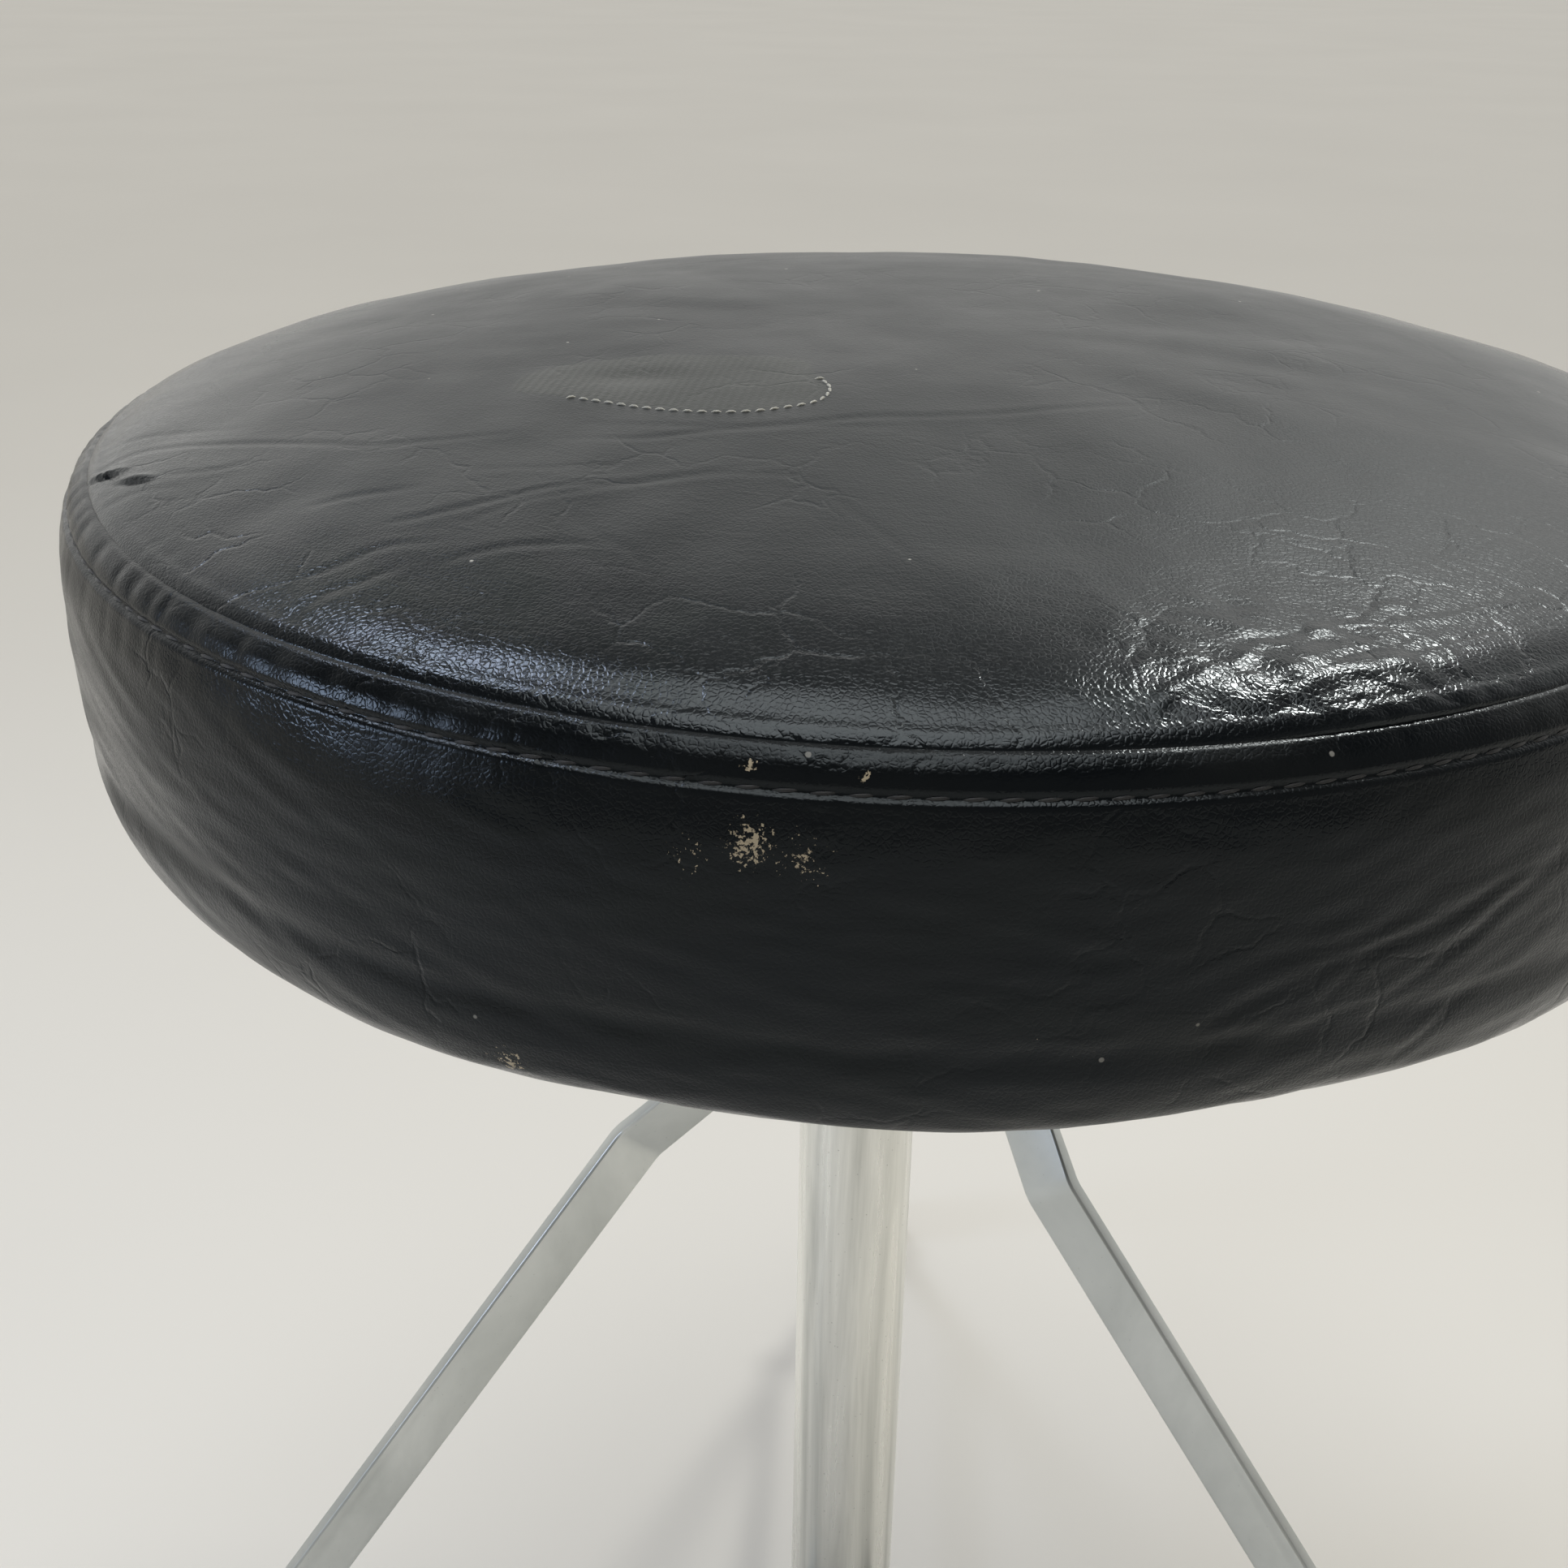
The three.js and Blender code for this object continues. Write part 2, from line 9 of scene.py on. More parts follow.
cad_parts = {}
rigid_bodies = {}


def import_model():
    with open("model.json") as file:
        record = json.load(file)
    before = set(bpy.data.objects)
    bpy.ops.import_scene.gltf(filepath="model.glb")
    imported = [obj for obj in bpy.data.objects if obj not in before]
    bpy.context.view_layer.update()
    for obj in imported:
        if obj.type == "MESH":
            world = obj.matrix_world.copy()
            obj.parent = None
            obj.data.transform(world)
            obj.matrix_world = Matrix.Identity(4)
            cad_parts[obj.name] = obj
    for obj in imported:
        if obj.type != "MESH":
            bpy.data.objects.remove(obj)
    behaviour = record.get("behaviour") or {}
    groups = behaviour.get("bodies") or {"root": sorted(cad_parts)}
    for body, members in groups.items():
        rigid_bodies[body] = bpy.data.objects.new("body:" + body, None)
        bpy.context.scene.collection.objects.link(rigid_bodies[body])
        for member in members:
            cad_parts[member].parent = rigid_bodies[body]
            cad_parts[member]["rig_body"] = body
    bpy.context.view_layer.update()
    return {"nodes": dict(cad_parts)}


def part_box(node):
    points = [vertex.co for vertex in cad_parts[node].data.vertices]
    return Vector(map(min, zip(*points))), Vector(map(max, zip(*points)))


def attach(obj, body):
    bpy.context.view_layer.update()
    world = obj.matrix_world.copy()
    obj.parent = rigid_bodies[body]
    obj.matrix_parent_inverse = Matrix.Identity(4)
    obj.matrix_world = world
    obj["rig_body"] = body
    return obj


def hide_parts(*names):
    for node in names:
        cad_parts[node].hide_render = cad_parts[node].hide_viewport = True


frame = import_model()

bpy.ops.object.select_all(action="DESELECT")
MM = 0.001

# ---- Column tube --------------------------------------------------------------------------
# A drawn steel tube 28.6 mm across with a 1.5 mm wall, nickel plated bright.
# Years of damp have clouded the plating in streaks that run along the tube.
tube_lo, tube_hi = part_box("column_tube")
axis_x, axis_y = (tube_lo.x + tube_hi.x) / 2, (tube_lo.y + tube_hi.y) / 2
TUBE_R = (tube_hi.x - tube_lo.x) / 2
TUBE_WALL = 1.5 * MM
SCREW_CLEARANCE = 0.3 * MM


def linear(hex_colour):
    """An sRGB hex colour as the linear colour that a shader socket takes."""
    parts = [int(hex_colour[i:i + 2], 16) / 255 for i in (1, 3, 5)]
    return [c / 12.92 if c <= 0.04045 else ((c + 0.055) / 1.055) ** 2.4 for c in parts] + [1.0]


def node(tree, kind, inputs=None, **settings):
    """One node: settings are its properties, inputs are values or the outputs that feed it."""
    made = tree.nodes.new("ShaderNode" + kind)
    for name, value in settings.items():
        setattr(made, name, value)
    for name, value in (inputs or {}).items():
        if isinstance(value, bpy.types.NodeSocket):
            tree.links.new(value, made.inputs[name])
        else:
            made.inputs[name].default_value = value
    return made


def start_material(name, **shader_values):
    """A new material: its node tree, its shader and the coordinates of the piece it is on."""
    material = bpy.data.materials.new(name)
    material.use_nodes = True
    tree = material.node_tree
    shader = tree.nodes["Principled BSDF"]
    for socket, value in shader_values.items():
        shader.inputs[socket.replace("_", " ")].default_value = value
    place = node(tree, "TexCoord").outputs["Object"]
    return material, tree, shader, place


def plated_metal(name, light, dark, smooth, rough, cloud_mm, stretch, brush_mm, brush_depth_mm):
    """Plating over steel: clouds where it has dulled, and the fine lines it was polished with."""
    material, tree, shader, place = start_material(name, Metallic=1.0)
    along = node(tree, "Mapping", {"Vector": place, "Scale": stretch})
    clouds = node(tree, "TexNoise", {"Vector": along.outputs[0], "Scale": 1000 / cloud_mm,
                                     "Detail": 5.0, "Roughness": 0.62, "Distortion": 0.4})
    spread = node(tree, "MapRange", {"Value": clouds.outputs[0], "From Min": 0.24, "From Max": 0.62})
    tint = node(tree, "Mix", {0: spread.outputs[0], 6: linear(dark), 7: linear(light)},
                data_type="RGBA")
    lines = node(tree, "TexNoise", {"Vector": along.outputs[0], "Scale": 1000 / brush_mm,
                                    "Detail": 3.0, "Roughness": 0.7})
    pits = node(tree, "TexVoronoi", {"Vector": place, "Scale": 420.0})
    pit = node(tree, "MapRange", {"Value": pits.outputs["Distance"], "From Min": 0.03,
                                  "From Max": 0.1})
    mottled = node(tree, "Mix", {0: pit.outputs[0], 6: linear(dark), 7: tint.outputs[2]},
                   data_type="RGBA")
    dull = node(tree, "MapRange", {"Value": clouds.outputs[0], "From Min": 0.3, "From Max": 0.72,
                                   "To Min": rough, "To Max": smooth})
    line = node(tree, "Math", {0: lines.outputs[0], 1: 0.12}, operation="MULTIPLY")
    roughness = node(tree, "Math", {0: dull.outputs[0], 1: line.outputs[0]}, operation="ADD")
    surface(tree, shader, mottled.outputs[2], roughness.outputs[0], lines.outputs[0],
            brush_depth_mm)
    return material


def surface(tree, shader, colour, gloss, height, depth_mm):
    """Give the shader its colour and roughness, and relief so many mm deep from a height."""
    relief = node(tree, "Bump", {"Height": height, "Strength": 1.0, "Distance": depth_mm * MM})
    for output, socket in ((colour, "Base Color"), (gloss, "Roughness"),
                           (relief.outputs[0], "Normal")):
        tree.links.new(output, shader.inputs[socket])


def ease_edges(piece, width, segments=2, angle=30):
    """A small round on the sharp edges, then smooth shading across everything flatter."""
    bevel = piece.modifiers.new("eased", "BEVEL")
    bevel.width, bevel.segments, bevel.limit_method = width, segments, "ANGLE"
    bevel.angle_limit = math.radians(angle)
    only(piece)
    bpy.ops.object.modifier_apply(modifier=bevel.name)
    bpy.ops.object.shade_smooth_by_angle(angle=math.radians(angle))


def only(piece):
    """Make this piece the one selected and active."""
    bpy.ops.object.select_all(action="DESELECT")
    piece.select_set(True)
    bpy.context.view_layer.objects.active = piece


# bright nickel: long soft streaks of clear and clouded plating, seen as a broken reflection
bright_nickel = plated_metal("bright_nickel_plating", "#f7f7f2", "#bcbeb9", 0.16, 0.34,
                             9, (1.0, 1.0, 0.05), 1.1, 0.010)
bpy.ops.mesh.primitive_cylinder_add(
    vertices=128, radius=TUBE_R, depth=tube_hi.z - tube_lo.z, end_fill_type="NOTHING",
    location=(axis_x, axis_y, (tube_lo.z + tube_hi.z) / 2))
column = bpy.context.object
column.name = "plated_column"
bpy.ops.object.transform_apply(location=True, rotation=True, scale=True)
wall = column.modifiers.new("wall", "SOLIDIFY")
wall.thickness, wall.offset = TUBE_WALL, -1.0
bpy.ops.object.modifier_apply(modifier=wall.name)
ease_edges(column, 0.35 * MM)
# the clamp screw reaches the post through a drilled hole, with clearance all round
screw_lo, screw_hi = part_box("clamp_screw")
bpy.ops.mesh.primitive_cylinder_add(
    vertices=32, radius=(screw_hi.z - screw_lo.z) / 2 + SCREW_CLEARANCE, depth=14 * MM,
    location=(axis_x, axis_y + TUBE_R, (screw_lo.z + screw_hi.z) / 2),
    rotation=(math.pi / 2, 0, 0))
drill = bpy.context.object
only(column)
bore = column.modifiers.new("clamp_hole", "BOOLEAN")
bore.operation, bore.object, bore.solver = "DIFFERENCE", drill, "EXACT"
bpy.ops.object.modifier_apply(modifier=bore.name)
bpy.data.objects.remove(drill)
column.data.materials.append(bright_nickel)
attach(column, "base")
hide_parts("column_tube")

# ---- Tripod legs --------------------------------------------------------------------------
# Three flat steel bars stood on edge and bent once across the broad face.
# They are plated and only satin polished, so the faces are cloudy and the edges rounded.


def finished_copy(cad_name, name, edge, material, body, segments=2, angle=30):
    """The same solid as one clean shell, with its sharp edges eased as a maker leaves them."""
    mesh = frame["nodes"][cad_name].data.copy()
    mesh.materials.clear()
    piece = bpy.data.objects.new(name, mesh)
    bpy.context.scene.collection.objects.link(piece)
    shell = bmesh.new()
    shell.from_mesh(mesh)
    bmesh.ops.remove_doubles(shell, verts=shell.verts, dist=2e-6)
    bmesh.ops.dissolve_limit(shell, angle_limit=math.radians(0.6), verts=shell.verts,
                             edges=shell.edges)
    shell.to_mesh(mesh)
    shell.free()
    ease_edges(piece, edge, segments, angle)
    piece.data.materials.append(material)
    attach(piece, body)
    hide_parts(cad_name)
    return piece


# satin plating: broad faces read pale and cloudy, with fine polishing lines and dull patches
satin_plating = plated_metal("satin_plated_bar", "#e0e3e1", "#c4c8c6", 0.24, 0.34,
                             40, (1.0, 1.0, 0.6), 1.4, 0.006)
for n in (1, 2, 3):
    finished_copy(f"leg_{n}", f"plated_leg_{n}", 0.7 * MM, satin_plating, "base",
                  segments=3)

# ---- Rubber feet --------------------------------------------------------------------------
# Moulded black rubber boots pushed on the ends of the bars; scuffed grey where they rub.


def moulded(name, dark, light, rough, grain_mm, grain_depth_mm):
    """Moulded rubber or plastic: a fine moulded grain and paler rubbed places."""
    material, tree, shader, place = start_material(name, IOR=1.5)
    patches = node(tree, "TexNoise", {"Vector": place, "Scale": 60.0, "Detail": 5.0,
                                      "Roughness": 0.6})
    rubbed = node(tree, "MapRange", {"Value": patches.outputs[0], "From Min": 0.42,
                                     "From Max": 0.72})
    tint = node(tree, "Mix", {0: rubbed.outputs[0], 6: linear(dark), 7: linear(light)},
                data_type="RGBA")
    grain = node(tree, "TexNoise", {"Vector": place, "Scale": 1000 / grain_mm, "Detail": 2.0})
    gloss = node(tree, "MapRange", {"Value": patches.outputs[0], "From Min": 0.3, "From Max": 0.7,
                                    "To Min": rough - 0.08, "To Max": rough + 0.1})
    surface(tree, shader, tint.outputs[2], gloss.outputs[0], grain.outputs[0], grain_depth_mm)
    return material


black_rubber = moulded("moulded_black_rubber", "#1a1a1b", "#3a3a39", 0.72, 0.7, 0.03)
for n in (1, 2, 3):
    finished_copy(f"rubber_foot_{n}", f"rubber_boot_{n}", 0.9 * MM, black_rubber, "base",
                  segments=3, angle=24)

# ---- Hub and collar -----------------------------------------------------------------------
# Two small zinc castings: the hub takes the tops of the legs, the collar the inner ends of
# the stays. Barrel polished, so a soft grain with darker hollows.
cast_zinc = plated_metal("tumbled_zinc_casting", "#b9bbba", "#7c8080", 0.34, 0.5,
                         6, (1.0, 1.0, 1.0), 0.8, 0.05)
finished_copy("leg_hub", "cast_leg_hub", 0.5 * MM, cast_zinc, "base", angle=35)
finished_copy("lower_collar", "cast_collar", 0.5 * MM, cast_zinc, "base", angle=35)

# ---- Stays --------------------------------------------------------------------------------
# Three thin plated straps from the collar to the legs, sheared to length and punched.
for n in (1, 2, 3):
    finished_copy(f"stay_{n}", f"plated_stay_{n}", 0.35 * MM, satin_plating, "base")

# ---- Bolts, nuts, screws and washer -------------------------------------------------------
# Stock steel hardware, zinc plated: slightly blue, with dull and bright facets.
zinc_hardware = plated_metal("blue_zinc_plated_steel", "#b4b8bb", "#83888a", 0.28, 0.42,
                             4, (1.0, 1.0, 1.0), 0.5, 0.015)
for name, cad in frame["nodes"].items():
    is_hardware = any(word in name for word in ("bolt", "_nut_", "screw", "washer"))
    if is_hardware and name != "clamp_screw":
        body = cad["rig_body"]
        finished_copy(name, f"plated_{name}", 0.25 * MM, zinc_hardware, body)

# ---- Clamp screw and knob -----------------------------------------------------------------
# A steel screw with a black moulded knob on its end, which pinches the post at its height.
finished_copy("clamp_screw", "plated_clamp_screw", 0.3 * MM, zinc_hardware, "clamp")
black_phenolic = moulded("moulded_black_phenolic", "#141415", "#262627", 0.34, 1.1, 0.01)
finished_copy("clamp_knob", "moulded_clamp_knob", 0.8 * MM, black_phenolic, "clamp",
              segments=3, angle=24)

# ---- Post and its bushes ------------------------------------------------------------------
# A plated steel post slides in a natural nylon bush in the column and carries another, on
# which the seat turns. A black plug closes the foot of the column.
finished_copy("seat_post", "plated_post", 0.5 * MM, bright_nickel, "post")
natural_nylon = moulded("natural_nylon", "#d9d4c4", "#c3bca8", 0.42, 1.5, 0.02)
finished_copy("column_bush", "nylon_column_bush", 0.35 * MM, natural_nylon, "base")
finished_copy("swivel_bush", "nylon_swivel_bush", 0.35 * MM, natural_nylon, "seat")
black_polythene = moulded("moulded_black_polythene", "#18191a", "#2b2b2c", 0.5, 1.2, 0.02)
finished_copy("column_end_plug", "column_plug", 0.5 * MM, black_polythene, "base")

# ---- Seat bracket -------------------------------------------------------------------------
# A steel plate with a welded socket, bolted up into the board. Zinc plated and a bit dull.
bracket_zinc = plated_metal("dulled_zinc_plate", "#a9adad", "#777c7d", 0.36, 0.52,
                            12, (1.0, 1.0, 1.0), 1.0, 0.03)
finished_copy("seat_bracket", "welded_seat_bracket", 0.5 * MM, bracket_zinc, "seat")

# ---- Seat board ---------------------------------------------------------------------------
# A disc of 12 mm birch plywood, sawn round and left raw: long pale grain, darker plies at
# its edge, where the saw has left it rough.
material, tree, shader, place = start_material("raw_birch_plywood", IOR=1.5)
grain_run = node(tree, "Mapping", {"Vector": place, "Scale": (1.0, 14.0, 14.0)})
fibres = node(tree, "TexNoise", {"Vector": grain_run.outputs[0], "Scale": 55.0, "Detail": 6.0,
                                 "Roughness": 0.65, "Distortion": 0.5})
ply_run = node(tree, "Mapping", {"Vector": place, "Scale": (0.0, 0.0, 1.0)})
plies = node(tree, "TexWave", {"Vector": ply_run.outputs[0], "Scale": 62.0, "Distortion": 0.0},
             bands_direction="Z")
wood = node(tree, "Mix", {0: fibres.outputs[0], 6: linear("#a9824f"), 7: linear("#dcbd8c")},
            data_type="RGBA")
ply_shade = node(tree, "MapRange", {"Value": plies.outputs["Fac"], "To Min": 0.72, "To Max": 1.0})
dark_plies = node(tree, "Mix", {0: ply_shade.outputs[0], 6: linear("#8a6536"),
                                7: wood.outputs[2]}, data_type="RGBA")
dry = node(tree, "MapRange", {"Value": fibres.outputs[0], "To Min": 0.6, "To Max": 0.78})
surface(tree, shader, dark_plies.outputs[2], dry.outputs[0], fibres.outputs[0], 0.06)
finished_copy("seat_board", "plywood_board", 0.6 * MM, material, "seat", angle=40)

# ---- Seat cover: its shape ----------------------------------------------------------------
# The cover is black vinyl over foam, cut as a round top panel and a side band. Both are
# shaped here as one skin, with lengths in millimetres from the cushion's own centre, and
# then made as two pieces that meet in the seam.
band_lo, band_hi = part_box("seat_side_band")
cushion = Vector(((band_lo.x + band_hi.x) / 2, (band_lo.y + band_hi.y) / 2, band_hi.z + 2.3 * MM))
SEAM_R = 166.5
CROWN, CROWN_POWER = 18.4, 2.6
SHOULDER_DROP, SHOULDER_WIDTH = 1.5, 5.5
LEAN = (-0.0218, 0.0090)     # how far the worn cushion leans, rise for each step along x and y
OVAL, OVAL_ACROSS, OVAL_TURN = 0.030, 0.0027, math.radians(4.2)
SIDE_PROFILE = [(166.5, 0), (170.6, -5.2), (172.5, -10.5), (173.4, -17), (173.6, -27),
                (173.1, -38), (172.2, -48), (169.6, -58.4), (163.0, -64.3), (152.5, -66.3),
                (140.0, -66.5), (131.0, -66.5)]
TURNS = 896
STITCH_S = 7.0               # the topstitch lies this far below the seam
BAND_R = 173.0               # radius that turns on the band are measured at
chance = np.random.default_rng(11)


def between_points(a, b, c, d, t):
    """The smooth curve from b to c at share t, with a before them and d after."""
    return 0.5 * (2 * b + (c - a) * t + (2 * a - 5 * b + 4 * c - d) * t ** 2
                  + (3 * b - a - 3 * c + d) * t ** 3)


def through_points(points, between):
    """A smooth line through the points, with so many steps between each two."""
    p = np.array(points, float)
    p = np.vstack([2 * p[0] - p[1], p, 2 * p[-1] - p[-2]])
    t = np.linspace(0, 1, between, endpoint=False)[:, None]
    runs = [between_points(a, b, c, d, t)
            for a, b, c, d in zip(p[:-3], p[1:-2], p[2:-1], p[3:])]
    return np.vstack(runs + [p[-2:-1]])


side_line = through_points(SIDE_PROFILE, 24)
side_arc = np.r_[0, np.cumsum(np.linalg.norm(np.diff(side_line, axis=0), axis=1))]
SIDE_LENGTH = side_arc[-1]


def bump_line(distance, width):
    """A soft ridge, 1 high where the distance is 0."""
    return np.exp(-(distance / width) ** 2)


def plain_skin(panel, s):
    """Radius, height and outward direction of the skin at distance s from the seam."""
    if panel == "top":
        r = SEAM_R - s

        def height(radius):
            inward = SEAM_R - radius
            return (CROWN * (1 - (radius / SEAM_R) ** CROWN_POWER)
                    + SHOULDER_DROP * (1 - bump_line(inward, SHOULDER_WIDTH)))
        z = height(r)
        slope = (height(np.minimum(r + 0.2, SEAM_R)) - height(np.maximum(r - 0.2, 0))) / 0.4
        normal = np.stack([-slope, np.ones_like(slope)], -1)
    else:
        r = np.interp(s, side_arc, side_line[:, 0])
        z = np.interp(s, side_arc, side_line[:, 1])
        before, after = np.clip(s - 0.6, 0, SIDE_LENGTH), np.clip(s + 0.6, 0, SIDE_LENGTH)
        dr, dz = (np.interp(after, side_arc, side_line[:, k])
                  - np.interp(before, side_arc, side_line[:, k]) for k in (0, 1))
        normal = np.stack([-dz, dr], -1)
    return r, z, normal / np.linalg.norm(normal, axis=-1, keepdims=True)


def out_of_round(theta):
    """How much wider than round the worn cushion is at each turn."""
    return 1 - OVAL_ACROSS * np.cos(2 * (theta - OVAL_TURN)) + OVAL * np.sin(
        2 * (theta - OVAL_TURN))


def place_skin(panel, s, theta, offset):
    """Points of the skin, in mm from the cushion's centre, pushed out by offset."""
    r, z, normal = plain_skin(panel, s)
    r, z = r[:, None] + offset * normal[:, :1], z[:, None] + offset * normal[:, 1:]
    r = r * out_of_round(theta)
    x, y = r * np.cos(theta), r * np.sin(theta)
    held = 0.0 * s if panel == "top" else np.clip((s - 58) / 24, 0, 1)
    lean = (1 - held ** 2 * (3 - 2 * held))[:, None]
    return np.stack([x, y, z + lean * (LEAN[0] * x + LEAN[1] * y)], -1)


# ---- Seat cover: how the cloth lies -------------------------------------------------------
# The foam pushes the sewn cover outward and the seam and the stapled edge hold it, so it
# swells unevenly between them. A coarse copy is blown up as cloth, and what it does beyond
# a plain round is kept, up to SWELL_LIMIT in mm.
COARSE_TURNS = 128
coarse_top = np.array([0, 4, 9, 16, 25, 36, 48, 61, 75, 90, 106, 122, 138, 154, 162.5])
coarse_side = np.array([0, 3.5, 7, 12, 18, 25, 32, 39, 46, 53, 60, 67, 74, 82])
SWELL_LIMIT = 0.7
SEAM_ROW = len(coarse_top) - 1     # rows run from the middle of the top to the staples
STAPLED_ROWS = 2
CLOTH_STEPS = 20
coarse_theta = np.arange(COARSE_TURNS) * 2 * math.pi / COARSE_TURNS
top_swell = np.zeros((len(coarse_top), COARSE_TURNS))
side_swell = np.zeros((len(coarse_side), COARSE_TURNS))


def ring_faces(rows, turns):
    """Quads between rings of a grid whose rings close on themselves."""
    i, j = np.meshgrid(np.arange(rows - 1), np.arange(turns), indexing="ij")
    k = (j + 1) % turns
    return np.stack([i * turns + j, (i + 1) * turns + j, (i + 1) * turns + k, i * turns + k],
                    -1).reshape(-1, 4)


def mesh_piece(name, points_mm, faces):
    """A mesh at the cushion's place from points in mm and faces of any size."""
    mesh = bpy.data.meshes.new(name)
    mesh.from_pydata((np.asarray(points_mm).reshape(-1, 3) * MM + np.array(cushion)).tolist(),
                     [], [list(map(int, f)) for f in faces])
    mesh.update()
    piece = bpy.data.objects.new(name, mesh)
    bpy.context.scene.collection.objects.link(piece)
    return piece


slack_top = place_skin("top", coarse_top[::-1], coarse_theta[None], 
                       -1.5 * np.ones((len(coarse_top), 1)))
slack_top[-1] = place_skin("top", coarse_top[:1], coarse_theta[None], np.zeros((1, 1)))[0]
slack_side = place_skin("side", coarse_side[1:], coarse_theta[None],
                        -1.2 * np.ones((len(coarse_side) - 1, 1)))
rows = np.concatenate([slack_top, slack_side])
ripple = np.zeros(rows.shape[:2])
for _ in range(9):
    around = int(chance.integers(2, 12))
    ripple += chance.normal() * np.cos(around * coarse_theta + chance.uniform(0, 6.28))[None] \
        * np.sin(np.arange(len(rows)) * chance.uniform(0.2, 0.7) + chance.uniform(0, 6.28)
                 )[:, None]
rows[:, :, 2] += 0.15 * ripple * (
    np.abs(np.arange(len(rows)) - SEAM_ROW) > 1)[:, None]
faces = list(ring_faces(len(rows), COARSE_TURNS)) + [list(range(COARSE_TURNS))]
blown = mesh_piece("cover_cloth_trial", rows, faces)
held = blown.vertex_groups.new(name="held")
for first, past in ((SEAM_ROW, SEAM_ROW + 1), (len(rows) - STAPLED_ROWS, len(rows))):
    held.add(list(range(first * COARSE_TURNS, past * COARSE_TURNS)), 1.0, "REPLACE")
only(blown)
cloth = blown.modifiers.new("cloth", "CLOTH")
cloth.settings.use_pressure = True
cloth.settings.uniform_pressure_force = 4
cloth.settings.effector_weights.gravity = 0
cloth.settings.vertex_group_mass = "held"
cloth.settings.quality = 6
cloth.settings.shrink_min = -0.004
cloth.point_cache.frame_start, cloth.point_cache.frame_end = 1, CLOTH_STEPS
for step in range(1, CLOTH_STEPS + 1):
    bpy.context.scene.frame_set(step)
bpy.ops.object.modifier_apply(modifier=cloth.name)
settled = np.array([v.co for v in blown.data.vertices]).reshape(rows.shape)
settled = (settled - np.array(cushion)) / MM
moved = settled - rows
outward = np.concatenate([plain_skin("top", coarse_top[::-1])[2],
                          plain_skin("side", coarse_side[1:])[2]])
swell = moved[..., 2] * outward[:, None, 1] + outward[:, None, 0] * (
    moved[..., 0] * np.cos(coarse_theta) + moved[..., 1] * np.sin(coarse_theta))
swell = swell - swell.mean(1, keepdims=True)
swell = SWELL_LIMIT * np.tanh(swell / SWELL_LIMIT)
print("cloth trial, unevenness kept in mm:", round(float(np.abs(swell).max()), 2),
      round(float(np.sqrt((swell ** 2).mean())), 3))
top_swell, side_swell = swell[:SEAM_ROW + 1][::-1], swell[SEAM_ROW:]
bpy.data.objects.remove(blown)
bpy.context.scene.frame_set(1)


def fine_swell(coarse_s, coarse, s, theta):
    """The coarse unevenness read off smoothly at any distance and turn."""
    smooth = coarse.copy()
    for _ in range(2):
        smooth = (np.roll(smooth, 1, 1) + 2 * smooth + np.roll(smooth, -1, 1)) / 4
    step = theta / (2 * math.pi) * COARSE_TURNS
    low = np.floor(step).astype(int)
    t = step - low
    a, b, c, d = (smooth[:, (low + k) % COARSE_TURNS] for k in (-1, 0, 1, 2))
    around = between_points(a, b, c, d, t)
    place = np.interp(s, coarse_s, np.arange(len(coarse_s)))
    low = np.clip(np.floor(place).astype(int), 0, len(coarse_s) - 2)
    t = (place - low)[:, None]
    t = t * t * (3 - 2 * t)
    calm = np.clip((SEAM_R - s) / 70, 0, 1)[:, None] ** 2 if coarse is top_swell else 1.0
    return calm * (around[low] * (1 - t) + around[low + 1] * t)


# ---- Seat cover: creases, puckers and wear ------------------------------------------------
# Years of sitting have set long creases in the top, a fan of them at the left, a crumpled
# shoulder at the front right and slanting wrinkles in the band below it.
# Each crease: points in mm from the cushion's centre, depth in mm, width in mm.
TOP_CREASES = [
    ([(-150, -75), (-139, -71), (-122, -74), (-106, -78), (-90, -82), (-69, -79.5)], 0.34, 1.1),
    ([(-61, -81.6), (-47, -82.3), (-36, -79), (-25, -77.6), (-6, -75)], 0.28, 1.1),
    ([(-57, -74.8), (-34, -77), (-20, -75), (-8.5, -70.4), (9, -65.7), (31, -58.6), (46, -51.6)],
     0.30, 1.2),
    ([(-153, -64), (-139, -63), (-120, -67)], 0.16, 1.2),
    ([(-134, -84), (-121, -86), (-114, -84)], 0.20, 1.0),
    ([(-97, -104.6), (-89, -102), (-79.5, -100.8)], 0.26, 1.1),
    ([(-82, -112.6), (-74.5, -110.7), (-57.5, -102.7), (-47, -100.8), (-26, -94)], 0.34, 1.1),
    ([(-68.6, -113.4), (-62, -107.5), (-54.5, -104.6), (-34, -98), (-23, -97.4), (-16.7, -99)],
     0.24, 1.0),
    ([(-91, -127), (-85.5, -124), (-80, -120), (-72, -119.7)], 0.30, 1.1),
    ([(-91.6, -138), (-86, -131.8), (-81, -129.6), (-76, -125.5)], 0.32, 1.1),
    ([(-71, -126), (-64, -123), (-56.6, -121.5), (-46, -121.7)], 0.26, 1.1),
    ([(-72.7, -94.6), (-61.7, -94.5), (-50.7, -94.6)], 0.14, 1.0),
    ([(-53, -112), (-48, -119), (-42, -124.6), (-35.6, -137)], 0.16, 0.9),
    ([(-16.5, -101.5), (-10.8, -110), (-5.4, -117.8), (2.2, -130.7)], 0.15, 0.9),
    ([(-140, -91.4), (-131, -90), (-122, -91.5)], 0.14, 1.0),
    ([(50.7, -152.3), (55, -147.5), (61, -142.5), (69, -137.6), (74.5, -134), (78, -138)],
     0.34, 0.9),
    ([(48, -155.5), (55, -152), (65, -146.4), (73, -142)], 0.20, 0.9),
    ([(56, -147), (66, -140.7), (75, -136.4), (80, -132)], 0.24, 0.9),
]
